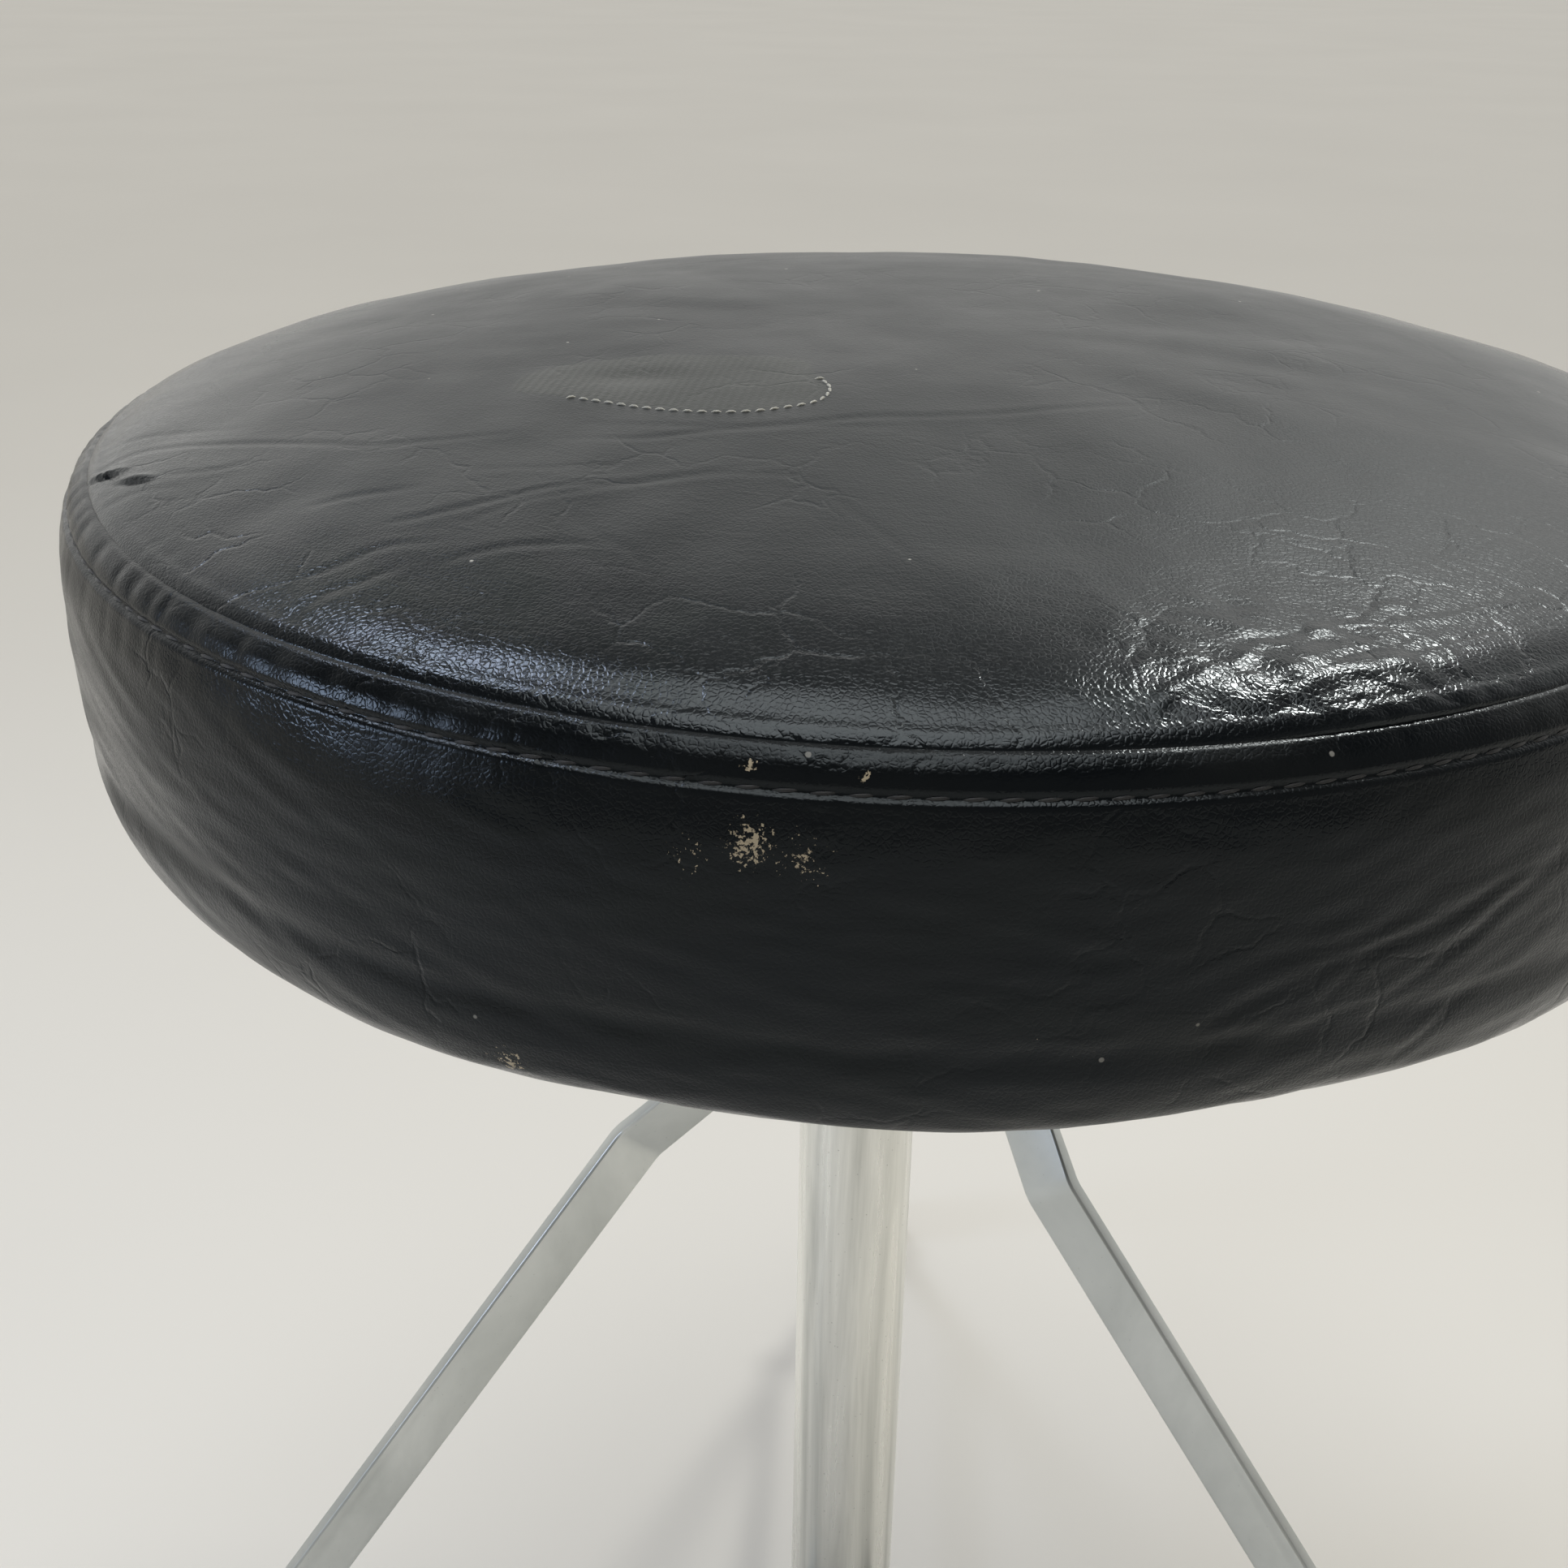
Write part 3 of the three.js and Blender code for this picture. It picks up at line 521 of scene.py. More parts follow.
TOP_RIDGES = [
    ([(31, -158.6), (36, -154), (41, -149.4), (46, -146.6), (49, -142), (55, -140), (60, -135),
      (65, -132)], 0.36, 0.9),
    ([(66.4, -132.7), (71, -126), (76.4, -125)], 0.24, 0.8),
    ([(33, -158.8), (35, -154), (36, -152)], 0.26, 0.8),
    ([(38, -144), (43, -142)], 0.14, 0.8),
    ([(29, -154), (32, -149), (35.5, -147)], 0.18, 0.8),
    ([(73, -130), (81, -126.5), (89.5, -121), (96, -116.6)], 0.22, 0.9),
]
# On the band: turn in degrees and distance below the seam in mm.
BAND_CREASES = [
    ([(283.3, 45), (285.2, 42), (287.6, 39), (291, 36.7)], 0.32, 1.1),
    ([(285.9, 39.7), (289.2, 36.4), (293.7, 34), (298.5, 31), (301.6, 27.8), (305.8, 26.9)],
     0.38, 1.2),
    ([(284.8, 33.9), (289, 32.3), (292.6, 31.4), (296.2, 28.2)], 0.30, 1.1),
    ([(290.5, 42.6), (292, 37.9), (293.7, 34), (297.7, 33.2)], 0.28, 1.0),
    ([(294.3, 43.6), (297.1, 39.8), (299.5, 35.9), (302, 31.5), (305.3, 27.9)], 0.36, 1.2),
    ([(288.1, 48.6), (291.5, 44.7), (294.3, 43.6), (297.2, 41.3)], 0.26, 1.0),
    ([(295.7, 59.9), (297.6, 54.2), (300.1, 47.9), (302.8, 45.8)], 0.30, 1.1),
    ([(284.6, 46.9), (287.1, 45.2), (289.5, 42.1)], 0.22, 1.0),
    ([(269.6, 27.9), (273.2, 29.1), (276.9, 30.2), (281.6, 33.1)], 0.18, 0.9),
    ([(268.9, 32.5), (273.3, 34.3), (278.2, 36.3)], 0.18, 0.9),
    ([(273.9, 26.2), (278.8, 29.9), (283.9, 31.9)], 0.20, 0.9),
    ([(275.2, 37.4), (280.9, 37.2), (284.9, 35.7)], 0.16, 0.9),
    ([(249, 28.2), (252.4, 28.9), (254.7, 33.9)], 0.18, 0.9),
    ([(262.4, 27.3), (266, 28.6), (268.9, 28.6)], 0.14, 0.9),
]
# more creases at the back, so that the cushion is as worn all round
for _ in range(22):
    turn, reach = chance.uniform(15, 165), chance.uniform(24, 48)
    slant, run = chance.normal(0, 0.5), chance.uniform(5, 11)
    BAND_CREASES.append(([(turn, reach), (turn + run / 2, reach + slant * 3),
                          (turn + run, reach + slant * 9)], chance.uniform(0.12, 0.3), 1.0))
for _ in range(12):
    turn, reach = chance.uniform(-0.2, 3.3), chance.uniform(70, 150)
    bend = chance.uniform(-0.1, 0.1)
    TOP_CREASES.append(([(reach * math.cos(turn + k * 0.09), (reach + 30 * bend * k)
                          * math.sin(turn + k * 0.09)) for k in range(5)],
                        chance.uniform(0.1, 0.22), 1.0))


def crease_relief(u, v, creases):
    """Grooves with soft lips along the given lines, fading out at both ends."""
    relief = np.zeros(np.broadcast(u, v).shape)
    for points, depth, width in creases:
        line = through_points(points, 4)
        lo, hi = line.min(0) - 6, line.max(0) + 6
        near = (u > lo[0]) & (u < hi[0]) & (v > lo[1]) & (v < hi[1])
        if not near.any():
            continue
        at = np.stack([np.broadcast_to(u, relief.shape)[near],
                       np.broadcast_to(v, relief.shape)[near]], -1)
        best, share = np.full(len(at), 1e9), np.zeros(len(at))
        for k in range(len(line) - 1):
            run = line[k + 1] - line[k]
            t = np.clip(((at - line[k]) @ run) / (run @ run), 0, 1)
            d = np.linalg.norm(at - line[k] - t[:, None] * run, axis=1)
            closer = d < best
            best[closer], share[closer] = d[closer], ((k + t) / (len(line) - 1))[closer]
        fade = np.sqrt(np.clip(np.sin(np.pi * np.clip(share, 0.02, 0.98)), 0, 1))
        relief[near] += depth * fade * (0.6 * bump_line(best, 2.6 * width)
                                        - 1.25 * bump_line(best, width))
    return relief


def soft_waves(u, v, count, short, long, seed):
    """Low uneven ground: waves of many lengths in all directions, about 1 high."""
    pick = np.random.default_rng(seed)
    total = 0.0
    for _ in range(count):
        way, length = pick.uniform(0, 2 * math.pi), pick.uniform(short, long)
        total = total + np.sin(2 * math.pi / length * (u * math.cos(way) + v * math.sin(way))
                               + pick.uniform(0, 2 * math.pi))
    return total / math.sqrt(count / 2)


PUCKER_GAP = 8.5
pucker_turn = np.arange(4096) / 4096 * 2 * math.pi
pucker_pace = 1 + 0.45 * soft_waves(SEAM_R * np.cos(pucker_turn), SEAM_R * np.sin(pucker_turn),
                                    8, 12, 40, 5)
pucker_pace = np.clip(pucker_pace, 0.4, 2.2)
pucker_phase = np.r_[0, np.cumsum(pucker_pace)]
pucker_phase *= 2 * math.pi * round(2 * math.pi * SEAM_R / PUCKER_GAP) / pucker_phase[-1]


def puckers(theta):
    """Where the stitching gathers the band: short folds PUCKER_GAP apart, some deeper."""
    phase = np.interp(theta % (2 * math.pi), np.r_[pucker_turn, 2 * math.pi], pucker_phase)
    deep = 0.35 + 0.9 * bump_line((np.degrees(theta) % 360) - 212, 42)
    return deep * (np.sin(phase) + 0.45 * np.sin(2.0 * phase + 1.1))


def top_relief(s, theta):
    """Height in mm that wear and sewing add to the top panel."""
    r = SEAM_R - s[:, None]
    x, y = r * np.cos(theta), r * np.sin(theta)
    near_seam = bump_line(s, 6)[:, None]
    relief = (0.20 * soft_waves(x, y, 9, 60, 150, 2) + 0.035 * soft_waves(x, y, 12, 14, 30, 3)
              ) * (1 - near_seam)
    relief = relief - 0.75 * np.exp(-s / 0.7)[:, None] + 0.16 * bump_line(s - 2.2, 1.0)[:, None]
    relief = relief + 0.02 * puckers(theta) * bump_line(s - 3, 3)[:, None]
    crumple = bump_line(np.hypot((x - 62) / 1.7 + (y + 148) * 0.3, y + 146), 17)
    relief = relief + 0.11 * crumple * soft_waves(x + 0.5 * y, 1.8 * y, 14, 6, 16, 8)
    relief = relief + 1.0 * bump_line(np.hypot((x - 66) / 2.1, y + 147), 14)
    relief = relief + 0.6 * crease_relief(x, y, TOP_CREASES) - 0.8 * crease_relief(
        x, y, TOP_RIDGES)
    dimple = bump_line(np.hypot((x + 52) / 1.9, (y + 49)), 5)
    relief = relief - 0.55 * dimple
    for tear_x, tear_y, turn in ((-143.5, -77.6, -0.2), (-134.6, -84.6, -0.36)):
        along = (x - tear_x) * math.cos(turn) + (y - tear_y) * math.sin(turn)
        across = -(x - tear_x) * math.sin(turn) + (y - tear_y) * math.cos(turn)
        slit = bump_line(along, 3.6)
        relief = relief + slit * (0.6 * bump_line(across - 1.1, 0.8)
                                  - 0.9 * bump_line(across, 0.6))
    return relief + fine_swell(coarse_top, top_swell, s, theta[0])


def band_relief(s, theta):
    """Height in mm that sewing, stapling and wear add to the side band."""
    column_s = s[:, None]
    u = theta * BAND_R
    sewn = (-0.75 * bump_line(s, 0.7) + 0.42 * bump_line(s - 3.6, 2.1)
            - 0.60 * bump_line(s - STITCH_S, 0.6) + 0.12 * bump_line(s - STITCH_S - 1.3, 0.8))
    relief = sewn[:, None] + 0.13 * puckers(theta) * bump_line(column_s - 3.4, 2.6)
    relief = relief + 0.05 * puckers(theta) * bump_line(column_s - STITCH_S - 4, 4)
    x, y = BAND_R * np.cos(theta), BAND_R * np.sin(theta)
    below = np.clip((column_s - STITCH_S) / 10, 0, 1)
    relief = relief + below * (0.30 * soft_waves(x + 0 * column_s, y + 2 * column_s, 9, 50, 120, 4)
                               + 0.05 * soft_waves(x, y + 3 * column_s, 12, 10, 24, 6))
    relief = relief - 0.5 * bump_line(column_s - 47, 2.6) + 0.35 * bump_line(column_s - 53, 4)
    degrees = np.degrees(theta) % 360 + 0 * column_s
    around = [([(math.radians(a) * BAND_R, b) for a, b in line], depth, width)
              for line, depth, width in BAND_CREASES]
    relief = relief + crease_relief(np.radians(degrees) * BAND_R, column_s + 0 * u, around)
    staple_pull = 0.5 + 0.5 * np.cos(theta * 26 + 1.3 * np.sin(3 * theta))
    relief = relief - 0.7 * staple_pull * bump_line(column_s - 88, 9)
    back_join = np.abs((degrees - 96 + 180) % 360 - 180) / 360 * 2 * math.pi * BAND_R
    join = 0.30 * bump_line(back_join - 2.2, 1.6) - 0.7 * bump_line(back_join, 0.6)
    relief = relief + join * (column_s > STITCH_S + 0.8)
    fold = np.abs(degrees - 268.5) * math.radians(BAND_R)
    relief = relief + 1.7 * bump_line(fold, 5.0) * bump_line(column_s - 74, 3.2)
    return relief + fine_swell(coarse_side, side_swell, s, theta[0]) * (
        1 - np.clip((column_s - 60) / 15, 0, 1))


# ---- Seat cover: the vinyl ----------------------------------------------------------------
# Black vinyl coated cloth with an embossed leather grain, semi-gloss. Sitting has dulled the
# middle of the top and left the shoulder and band glossier, with small scuffs to the cloth.


def black_vinyl(name, chips, dust, specular):
    """Embossed black vinyl: small soft cells, finer wrinkles, rubbed gloss, chips and dust."""
    material, tree, shader, place = start_material(name, IOR=1.5, Specular_IOR_Level=specular,
                                                    Specular_Tint=linear("#dfebf3"))
    cover = node(tree, "UVMap", uv_map="cover").outputs[0]
    worn = node(tree, "Attribute", attribute_name="dulled").outputs["Fac"]
    patch = node(tree, "Attribute", attribute_name="patch").outputs["Fac"]
    # embossed cells 0.9 mm across, and the wavy lines between groups of them
    wobble = node(tree, "TexNoise", {"Vector": place, "Scale": 700.0, "Detail": 2.0})
    bent = node(tree, "VectorMath", {0: wobble.outputs["Color"], 1: (0.0006, 0.0006, 0.0006)},
                operation="MULTIPLY")
    grain_place = node(tree, "VectorMath", {0: place, 1: bent.outputs[0]}, operation="ADD")
    cells = node(tree, "TexVoronoi", {"Vector": grain_place.outputs[0], "Scale": 1100.0},
                 feature="DISTANCE_TO_EDGE")
    cell = node(tree, "MapRange", {"Value": cells.outputs["Distance"], "From Max": 0.22})
    lines = node(tree, "TexNoise", {"Vector": place, "Scale": 190.0, "Detail": 5.0,
                                    "Roughness": 0.62, "Distortion": 0.9})
    # fine wrinkles that run round the band and across the top, a millimetre or two apart
    run = node(tree, "Mapping", {"Vector": cover, "Scale": (1.0, 4.2, 1.0)})
    wrinkles = node(tree, "TexNoise", {"Vector": run.outputs[0], "Scale": 120.0, "Detail": 4.0,
                                       "Roughness": 0.6, "Distortion": 0.7},
                    noise_type="RIDGED_MULTIFRACTAL")
    # hair creases: broken crooked lines between fields about 16 mm across
    field_bend = node(tree, "TexNoise", {"Vector": place, "Scale": 95.0, "Detail": 4.0})
    field_shift = node(tree, "VectorMath", {0: field_bend.outputs["Color"],
                                            1: (0.012, 0.012, 0.012)}, operation="MULTIPLY")
    field_place = node(tree, "VectorMath", {0: place, 1: field_shift.outputs[0]},
                       operation="ADD")
    fields = node(tree, "TexVoronoi", {"Vector": field_place.outputs[0], "Scale": 62.0},
                  feature="DISTANCE_TO_EDGE")
    hair = node(tree, "MapRange", {"Value": fields.outputs["Distance"], "From Max": 0.045,
                                   "To Min": -0.75, "To Max": 0.0})
    broken = node(tree, "TexNoise", {"Vector": place, "Scale": 34.0, "Detail": 3.0})
    shown = node(tree, "MapRange", {"Value": broken.outputs[0], "From Min": 0.46,
                                    "From Max": 0.62})
    hair = node(tree, "Math", {0: hair.outputs[0], 1: shown.outputs[0]}, operation="MULTIPLY")
    clouds = node(tree, "TexNoise", {"Vector": place, "Scale": 22.0, "Detail": 6.0,
                                     "Roughness": 0.62, "Distortion": 0.3})
    # the repaired patch is a ribbed cloth, one rib each 1.7 mm
    ribs_run = node(tree, "Mapping", {"Vector": place, "Rotation": (0.0, 0.0, 0.06)})
    ribs = node(tree, "TexWave", {"Vector": ribs_run.outputs[0], "Scale": 190.0,
                                  "Distortion": 1.2, "Detail": 1.0}, bands_direction="X")
    rib = node(tree, "Math", {0: ribs.outputs["Fac"], 1: patch}, operation="MULTIPLY")
    height = hair.outputs[0]
    for layer, weight in ((cell, 0.20), (lines, 0.62), (wrinkles, 0.34), (rib, 0.5)):
        height = node(tree, "Math", {0: layer.outputs[0], 1: weight, 2: height},
                      operation="MULTIPLY_ADD").outputs[0]
    # colour: near black, a little browner where dulled, greyer on the ribbed patch
    deep = node(tree, "Mix", {0: clouds.outputs[0], 6: linear("#050709"), 7: linear("#0b0e11")},
                data_type="RGBA")
    faded = node(tree, "Mix", {0: worn, 6: deep.outputs[2], 7: linear("#0f1010")},
                 data_type="RGBA")
    patched = node(tree, "Mix", {0: patch, 6: faded.outputs[2], 7: linear("#23241f")},
                   data_type="RGBA")
    colour = patched.outputs[2]
    for x, y, z, reach, amount in chips:
        # coating flaked off in crumbs round one spot, which bares the beige cloth
        away = node(tree, "VectorMath", {0: place, 1: (x, y, z)}, operation="DISTANCE")
        crumbs = node(tree, "TexNoise", {"Vector": place, "Scale": 1250.0, "Detail": 3.0,
                                         "Roughness": 0.7})
        gate = node(tree, "MapRange", {"Value": away.outputs["Value"], "From Max": reach,
                                       "To Min": amount, "To Max": amount - 0.36})
        both = node(tree, "Math", {0: crumbs.outputs[0], 1: gate.outputs[0]}, operation="ADD")
        bare = node(tree, "MapRange", {"Value": both.outputs[0], "From Min": 0.98,
                                       "From Max": 1.01})
        colour = node(tree, "Mix", {0: bare.outputs[0], 6: colour, 7: linear("#b3a58c")},
                      data_type="RGBA").outputs[2]
    specks = node(tree, "TexVoronoi", {"Vector": place, "Scale": 62.0, "Randomness": 1.0})
    speck = node(tree, "MapRange", {"Value": specks.outputs["Distance"], "From Min": 0.022,
                                    "From Max": 0.03, "To Min": dust, "To Max": 0.0})
    colour = node(tree, "Mix", {0: speck.outputs[0], 6: colour, 7: linear("#d8d5cc")},
                  data_type="RGBA").outputs[2]
    # gloss: clear where it is tight and clean, duller where it has been sat on
    gloss = node(tree, "MapRange", {"Value": worn, "To Min": 0.17, "To Max": 0.40})
    smear = node(tree, "MapRange", {"Value": clouds.outputs[0], "From Min": 0.3, "From Max": 0.7,
                                    "To Min": -0.03, "To Max": 0.05})
    rough = node(tree, "Math", {0: gloss.outputs[0], 1: smear.outputs[0]}, operation="ADD")
    rough = node(tree, "Math", {0: rough.outputs[0], 1: speck.outputs[0]}, operation="ADD",
                 use_clamp=True)
    surface(tree, shader, colour, rough.outputs[0], height, 0.11)
    return material


def on_cushion(panel, degrees, s):
    """A point of the finished skin in the scene's own metres, for a mark in a material."""
    theta = np.array([[math.radians(degrees)]])
    point = place_skin(panel, np.array([float(s)]), theta, np.zeros((1, 1)))[0, 0]
    return tuple(float(c) for c in point * MM + np.array(cushion))


side_vinyl = black_vinyl("grained_black_vinyl_band", [
    on_cushion("side", 263.1, 14.8) + (0.0062, 0.56),
    on_cushion("side", 265.5, 15.8) + (0.010, 0.455),
    on_cushion("side", 260.6, 17.0) + (0.0095, 0.44),
    on_cushion("side", 262.9, 4.0) + (0.002, 0.56),
    on_cushion("side", 268.0, 4.8) + (0.002, 0.56),
    on_cushion("side", 250.8, 59.0) + (0.006, 0.52)], 0.3, 0.31)
top_vinyl = black_vinyl("grained_black_vinyl_top", [], 0.6, 0.46)


def face_outward(piece, smooth_below):
    """Turn every face outward, and shade smooth across edges flatter than so many degrees."""
    only(piece)
    bpy.ops.object.mode_set(mode="EDIT")
    bpy.ops.mesh.select_all(action="SELECT")
    bpy.ops.mesh.normals_make_consistent(inside=False)
    bpy.ops.object.mode_set(mode="OBJECT")
    bpy.ops.object.shade_smooth_by_angle(angle=math.radians(smooth_below))


def cover_panel(name, panel, distances, relief, thickness, cad_name, material):
    """One panel of the cover: the seen face with its relief and an inner face behind it."""
    theta = (np.arange(TURNS) * 2 * math.pi / TURNS)[None]
    outer = place_skin(panel, distances, theta, relief(distances, theta))
    back_s = distances[::8] if distances[-1] in distances[::8] else np.r_[distances[::8],
                                                                         distances[-1]]
    inner = place_skin(panel, back_s, theta, np.minimum(relief(back_s, theta), 0) * 0.5
                       - thickness)
    rows = np.concatenate([inner[::-1], outer])
    faces = ring_faces(len(rows), TURNS)
    all_s = np.r_[back_s[::-1], distances]
    points, last = rows.reshape(-1, 3), (len(rows) - 1) * TURNS
    if panel == "top":
        hub_out = outer[-1].mean(0) + (0, 0, 0.01)
        hub_in = inner[-1].mean(0)
        points = np.vstack([points, hub_out, hub_in])
        extra = [(last + j, len(points) - 2, last + (j + 1) % TURNS) for j in range(TURNS)]
        extra += [((j + 1) % TURNS, len(points) - 1, j) for j in range(TURNS)]
        faces = [list(f) for f in faces] + [list(f[::-1]) for f in extra]
    else:
        hem = [[last + j, j, (j + 1) % TURNS, last + (j + 1) % TURNS]
               for j in range(TURNS)]
        faces = [list(f) for f in faces] + hem
    piece = mesh_piece(name, points, faces)
    face_outward(piece, 60)
    # the cover's own coordinates in metres: round the seam and away from it
    layer = piece.data.uv_layers.new(name="cover")
    per_point = np.zeros((len(points), 2))
    per_point[:len(all_s) * TURNS, 0] = np.tile(theta[0] * SEAM_R * MM, len(all_s))
    per_point[:len(all_s) * TURNS, 1] = np.repeat(all_s * MM, TURNS)
    corner = np.zeros(len(piece.data.loops), int)
    piece.data.loops.foreach_get("vertex_index", corner)
    spread = per_point[corner]
    starts = np.zeros(len(piece.data.polygons), int)
    piece.data.polygons.foreach_get("loop_start", starts)
    whole = 2 * math.pi * SEAM_R * MM
    owner = np.repeat(np.arange(len(starts)), np.diff(np.r_[starts, len(corner)]))
    widest = np.maximum.reduceat(spread[:, 0], starts)
    wraps = (widest[owner] - spread[:, 0]) > whole / 2
    spread[wraps, 0] += whole
    layer.data.foreach_set("uv", spread.ravel())
    piece.data.materials.append(material)
    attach(piece, "seat")
    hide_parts(cad_name)
    return piece, points


def note(piece, name, values):
    """A number for each point of a piece, which its material reads."""
    attribute = piece.data.attributes.new(name, "FLOAT", "POINT")
    attribute.data.foreach_set("value", np.asarray(values, np.float32))


# ---- Side band ----------------------------------------------------------------------------
# A strip of vinyl sewn to the top panel, its seam allowance laid down and stitched through
# 7 mm below the seam, drawn under the board and stapled.
COVER_T = 1.2
band_s = np.unique(np.r_[np.arange(0, 9.6, 0.34), np.arange(9.6, 78, 1.05),
                         np.arange(78, SIDE_LENGTH, 2.2), SIDE_LENGTH])
side_band, band_points = cover_panel("vinyl_side_band", "side", band_s, band_relief, COVER_T,
                                     "seat_side_band", side_vinyl)
rubbed = 0.25 + 0.2 * soft_waves(band_points[:, 0], band_points[:, 1] + 3 * band_points[:, 2],
                                 10, 25, 90, 21)
note(side_band, "dulled", np.clip(rubbed, 0, 1))
note(side_band, "patch", np.zeros(len(band_points)))

# ---- Top panel ----------------------------------------------------------------------------
# The round panel that is sat on. Its edge rolls down into the seam; a hole towards the back
# left has been closed by hand with a ribbed patch, and there are two small tears at the left.
top_s = np.unique(np.r_[np.arange(0, 4.2, 0.36), np.arange(4.2, 34, 0.85),
                        np.arange(34, 160, 1.2), 162.5])
top_panel, top_points = cover_panel("vinyl_top_panel", "top", top_s, top_relief, COVER_T,
                                    "seat_top_panel", top_vinyl)
PATCH_EDGE = [(-64.6, -63.7), (-57.5, -66.3), (-48.9, -69.5), (-40, -71.5), (-31.3, -71.5),
              (-24.4, -68.8), (-18.9, -64.7), (-17.5, -57.5), (-20.4, -50), (-22, -39.6),
              (-28.5, -36.3), (-41.2, -35.6), (-53.8, -35.8), (-62.5, -39.3), (-71.6, -43.3),
              (-76.4, -50.5), (-76.4, -57.9), (-71, -61.7)]


def inside_patch(x, y):
    """1 within the patch, falling to 0 over the last millimetre at its edge."""
    edge = through_points(PATCH_EDGE + PATCH_EDGE[:1], 5)
    inside, away = np.zeros(x.shape, bool), np.full(x.shape, 1e9)
    for (ax, ay), (bx, by) in zip(edge[:-1], edge[1:]):
        crosses = (ay > y) != (by > y)
        inside ^= crosses & (x < (bx - ax) * (y - ay) / (by - ay + 1e-12) + ax)
        t = np.clip(((x - ax) * (bx - ax) + (y - ay) * (by - ay))
                    / ((bx - ax) ** 2 + (by - ay) ** 2 + 1e-12), 0, 1)
        away = np.minimum(away, np.hypot(x - ax - t * (bx - ax), y - ay - t * (by - ay)))
    return np.where(inside, np.clip(away, 0, 1), 0.0)


note(top_panel, "patch", inside_patch(top_points[:, 0], top_points[:, 1]))
from_rim = SEAM_R - np.hypot(top_points[:, 0], top_points[:, 1])
note(top_panel, "dulled", np.clip((from_rim - 8) / 46, 0, 1) ** 0.8)

# ---- Topstitch ----------------------------------------------------------------------------
# Black thread, one stitch each 5 mm, pulled down into the vinyl with a small gap between.


def row_of_stitches(name, path_points, outward, length, radius, slant, material):
    """Short thick-in-the-middle stitches laid along points, as one piece."""
    bpy.ops.mesh.primitive_cylinder_add(vertices=7, radius=1, depth=2, end_fill_type="NGON")
    first = bpy.context.object
    bpy.ops.object.mode_set(mode="EDIT")
    bpy.ops.mesh.select_all(action="SELECT")
    bpy.ops.mesh.subdivide(number_cuts=2)
    bpy.ops.object.mode_set(mode="OBJECT")
    shape = np.array([v.co for v in first.data.vertices])
    faces = [list(p.vertices) for p in first.data.polygons]
    bpy.data.objects.remove(first)
    squeeze = np.sqrt(np.clip(1 - (shape[:, 2] * 0.93) ** 2, 0, 1))
    points, all_faces = [], []
    steps = np.roll(path_points, -1, 0) - np.roll(path_points, 1, 0)
    for k, (at, along, out) in enumerate(zip(path_points, steps, outward)):
        along = along / np.linalg.norm(along)
        out = out - along * (out @ along)
        out = out / np.linalg.norm(out)
        across = np.cross(out, along)
        along = along * math.cos(slant) + across * math.sin(slant)
        across = np.cross(out, along)
        sag = 0.28 * shape[:, 2] ** 2
        local = (along[None] * (shape[:, 2] * length / 2)[:, None]
                 + across[None] * (shape[:, 0] * squeeze * radius)[:, None]
                 + out[None] * (shape[:, 1] * squeeze * radius * 0.8 - sag)[:, None])
        all_faces += [[v + k * len(shape) for v in f] for f in faces]
        points.append(at + local)
    piece = mesh_piece(name, np.concatenate(points), all_faces)
    face_outward(piece, 50)
    piece.data.materials.append(material)
    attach(piece, "seat")
    return piece


def bonded_thread(name, dark, light):
    """Waxed polyester thread: a soft sheen over a tight twist about half a millimetre long."""
    material, tree, shader, place = start_material(name, IOR=1.5, Sheen_Weight=0.25)
    twist = node(tree, "TexNoise", {"Vector": place, "Scale": 1800.0, "Detail": 2.0})
    tint = node(tree, "Mix", {0: twist.outputs[0], 6: linear(dark), 7: linear(light)},
                data_type="RGBA")
    sheen = node(tree, "MapRange", {"Value": twist.outputs[0], "To Min": 0.4, "To Max": 0.62})
    surface(tree, shader, tint.outputs[2], sheen.outputs[0], twist.outputs[0], 0.08)
    return material


STITCH_PITCH, STITCH_R = 5.0, 170.7
STITCH_COUNT = round(2 * math.pi * STITCH_R / STITCH_PITCH)
stitch_theta = (np.arange(STITCH_COUNT) * 2 * math.pi / STITCH_COUNT)[None]
lift = band_relief(np.array([STITCH_S]), stitch_theta) + 0.16
stitch_at = place_skin("side", np.array([STITCH_S]), stitch_theta, lift)[0]
stitch_out = place_skin("side", np.array([STITCH_S]), stitch_theta, lift + 1)[0] - stitch_at
row_of_stitches("seat_topstitch", stitch_at, stitch_out, 3.9, 0.30, 0.09,
                bonded_thread("black_bonded_thread", "#0c0c0d", "#2a2a2b"))

# ---- Patch stitches -----------------------------------------------------------------------
# Pale thread along the near edge of the patch, in small stitches sewn by hand.
near_edge = through_points(PATCH_EDGE[:9], 40)
edge_arc = np.r_[0, np.cumsum(np.linalg.norm(np.diff(near_edge, axis=0), axis=1))]
PATCH_PITCH = 2.6
at_arc = np.arange(0.6, edge_arc[-1], PATCH_PITCH)
sewn_x = np.interp(at_arc, edge_arc, near_edge[:, 0])
sewn_y = np.interp(at_arc, edge_arc, near_edge[:, 1])
sewn_r, sewn_theta = np.hypot(sewn_x, sewn_y), np.arctan2(sewn_y, sewn_x)
patch_at, patch_out = [], []
for r, theta in zip(sewn_r, sewn_theta):
    turn = np.array([[theta]])
    s = np.array([SEAM_R - r / out_of_round(theta)])
    high = top_relief(s, turn) + 0.10
    patch_at.append(place_skin("top", s, turn, high)[0, 0])
    patch_out.append((0, 0, 1.0))
patch_at, patch_out = np.array(patch_at), np.array(patch_out)
patch_at = np.vstack([patch_at, 2 * patch_at[-1] - patch_at[-2]])
row_of_stitches("patch_stitches", patch_at[:-1], patch_out, 2.2, 0.34, 0.10,
                bonded_thread("grey_cotton_thread", "#85847b", "#bdbbb0"))

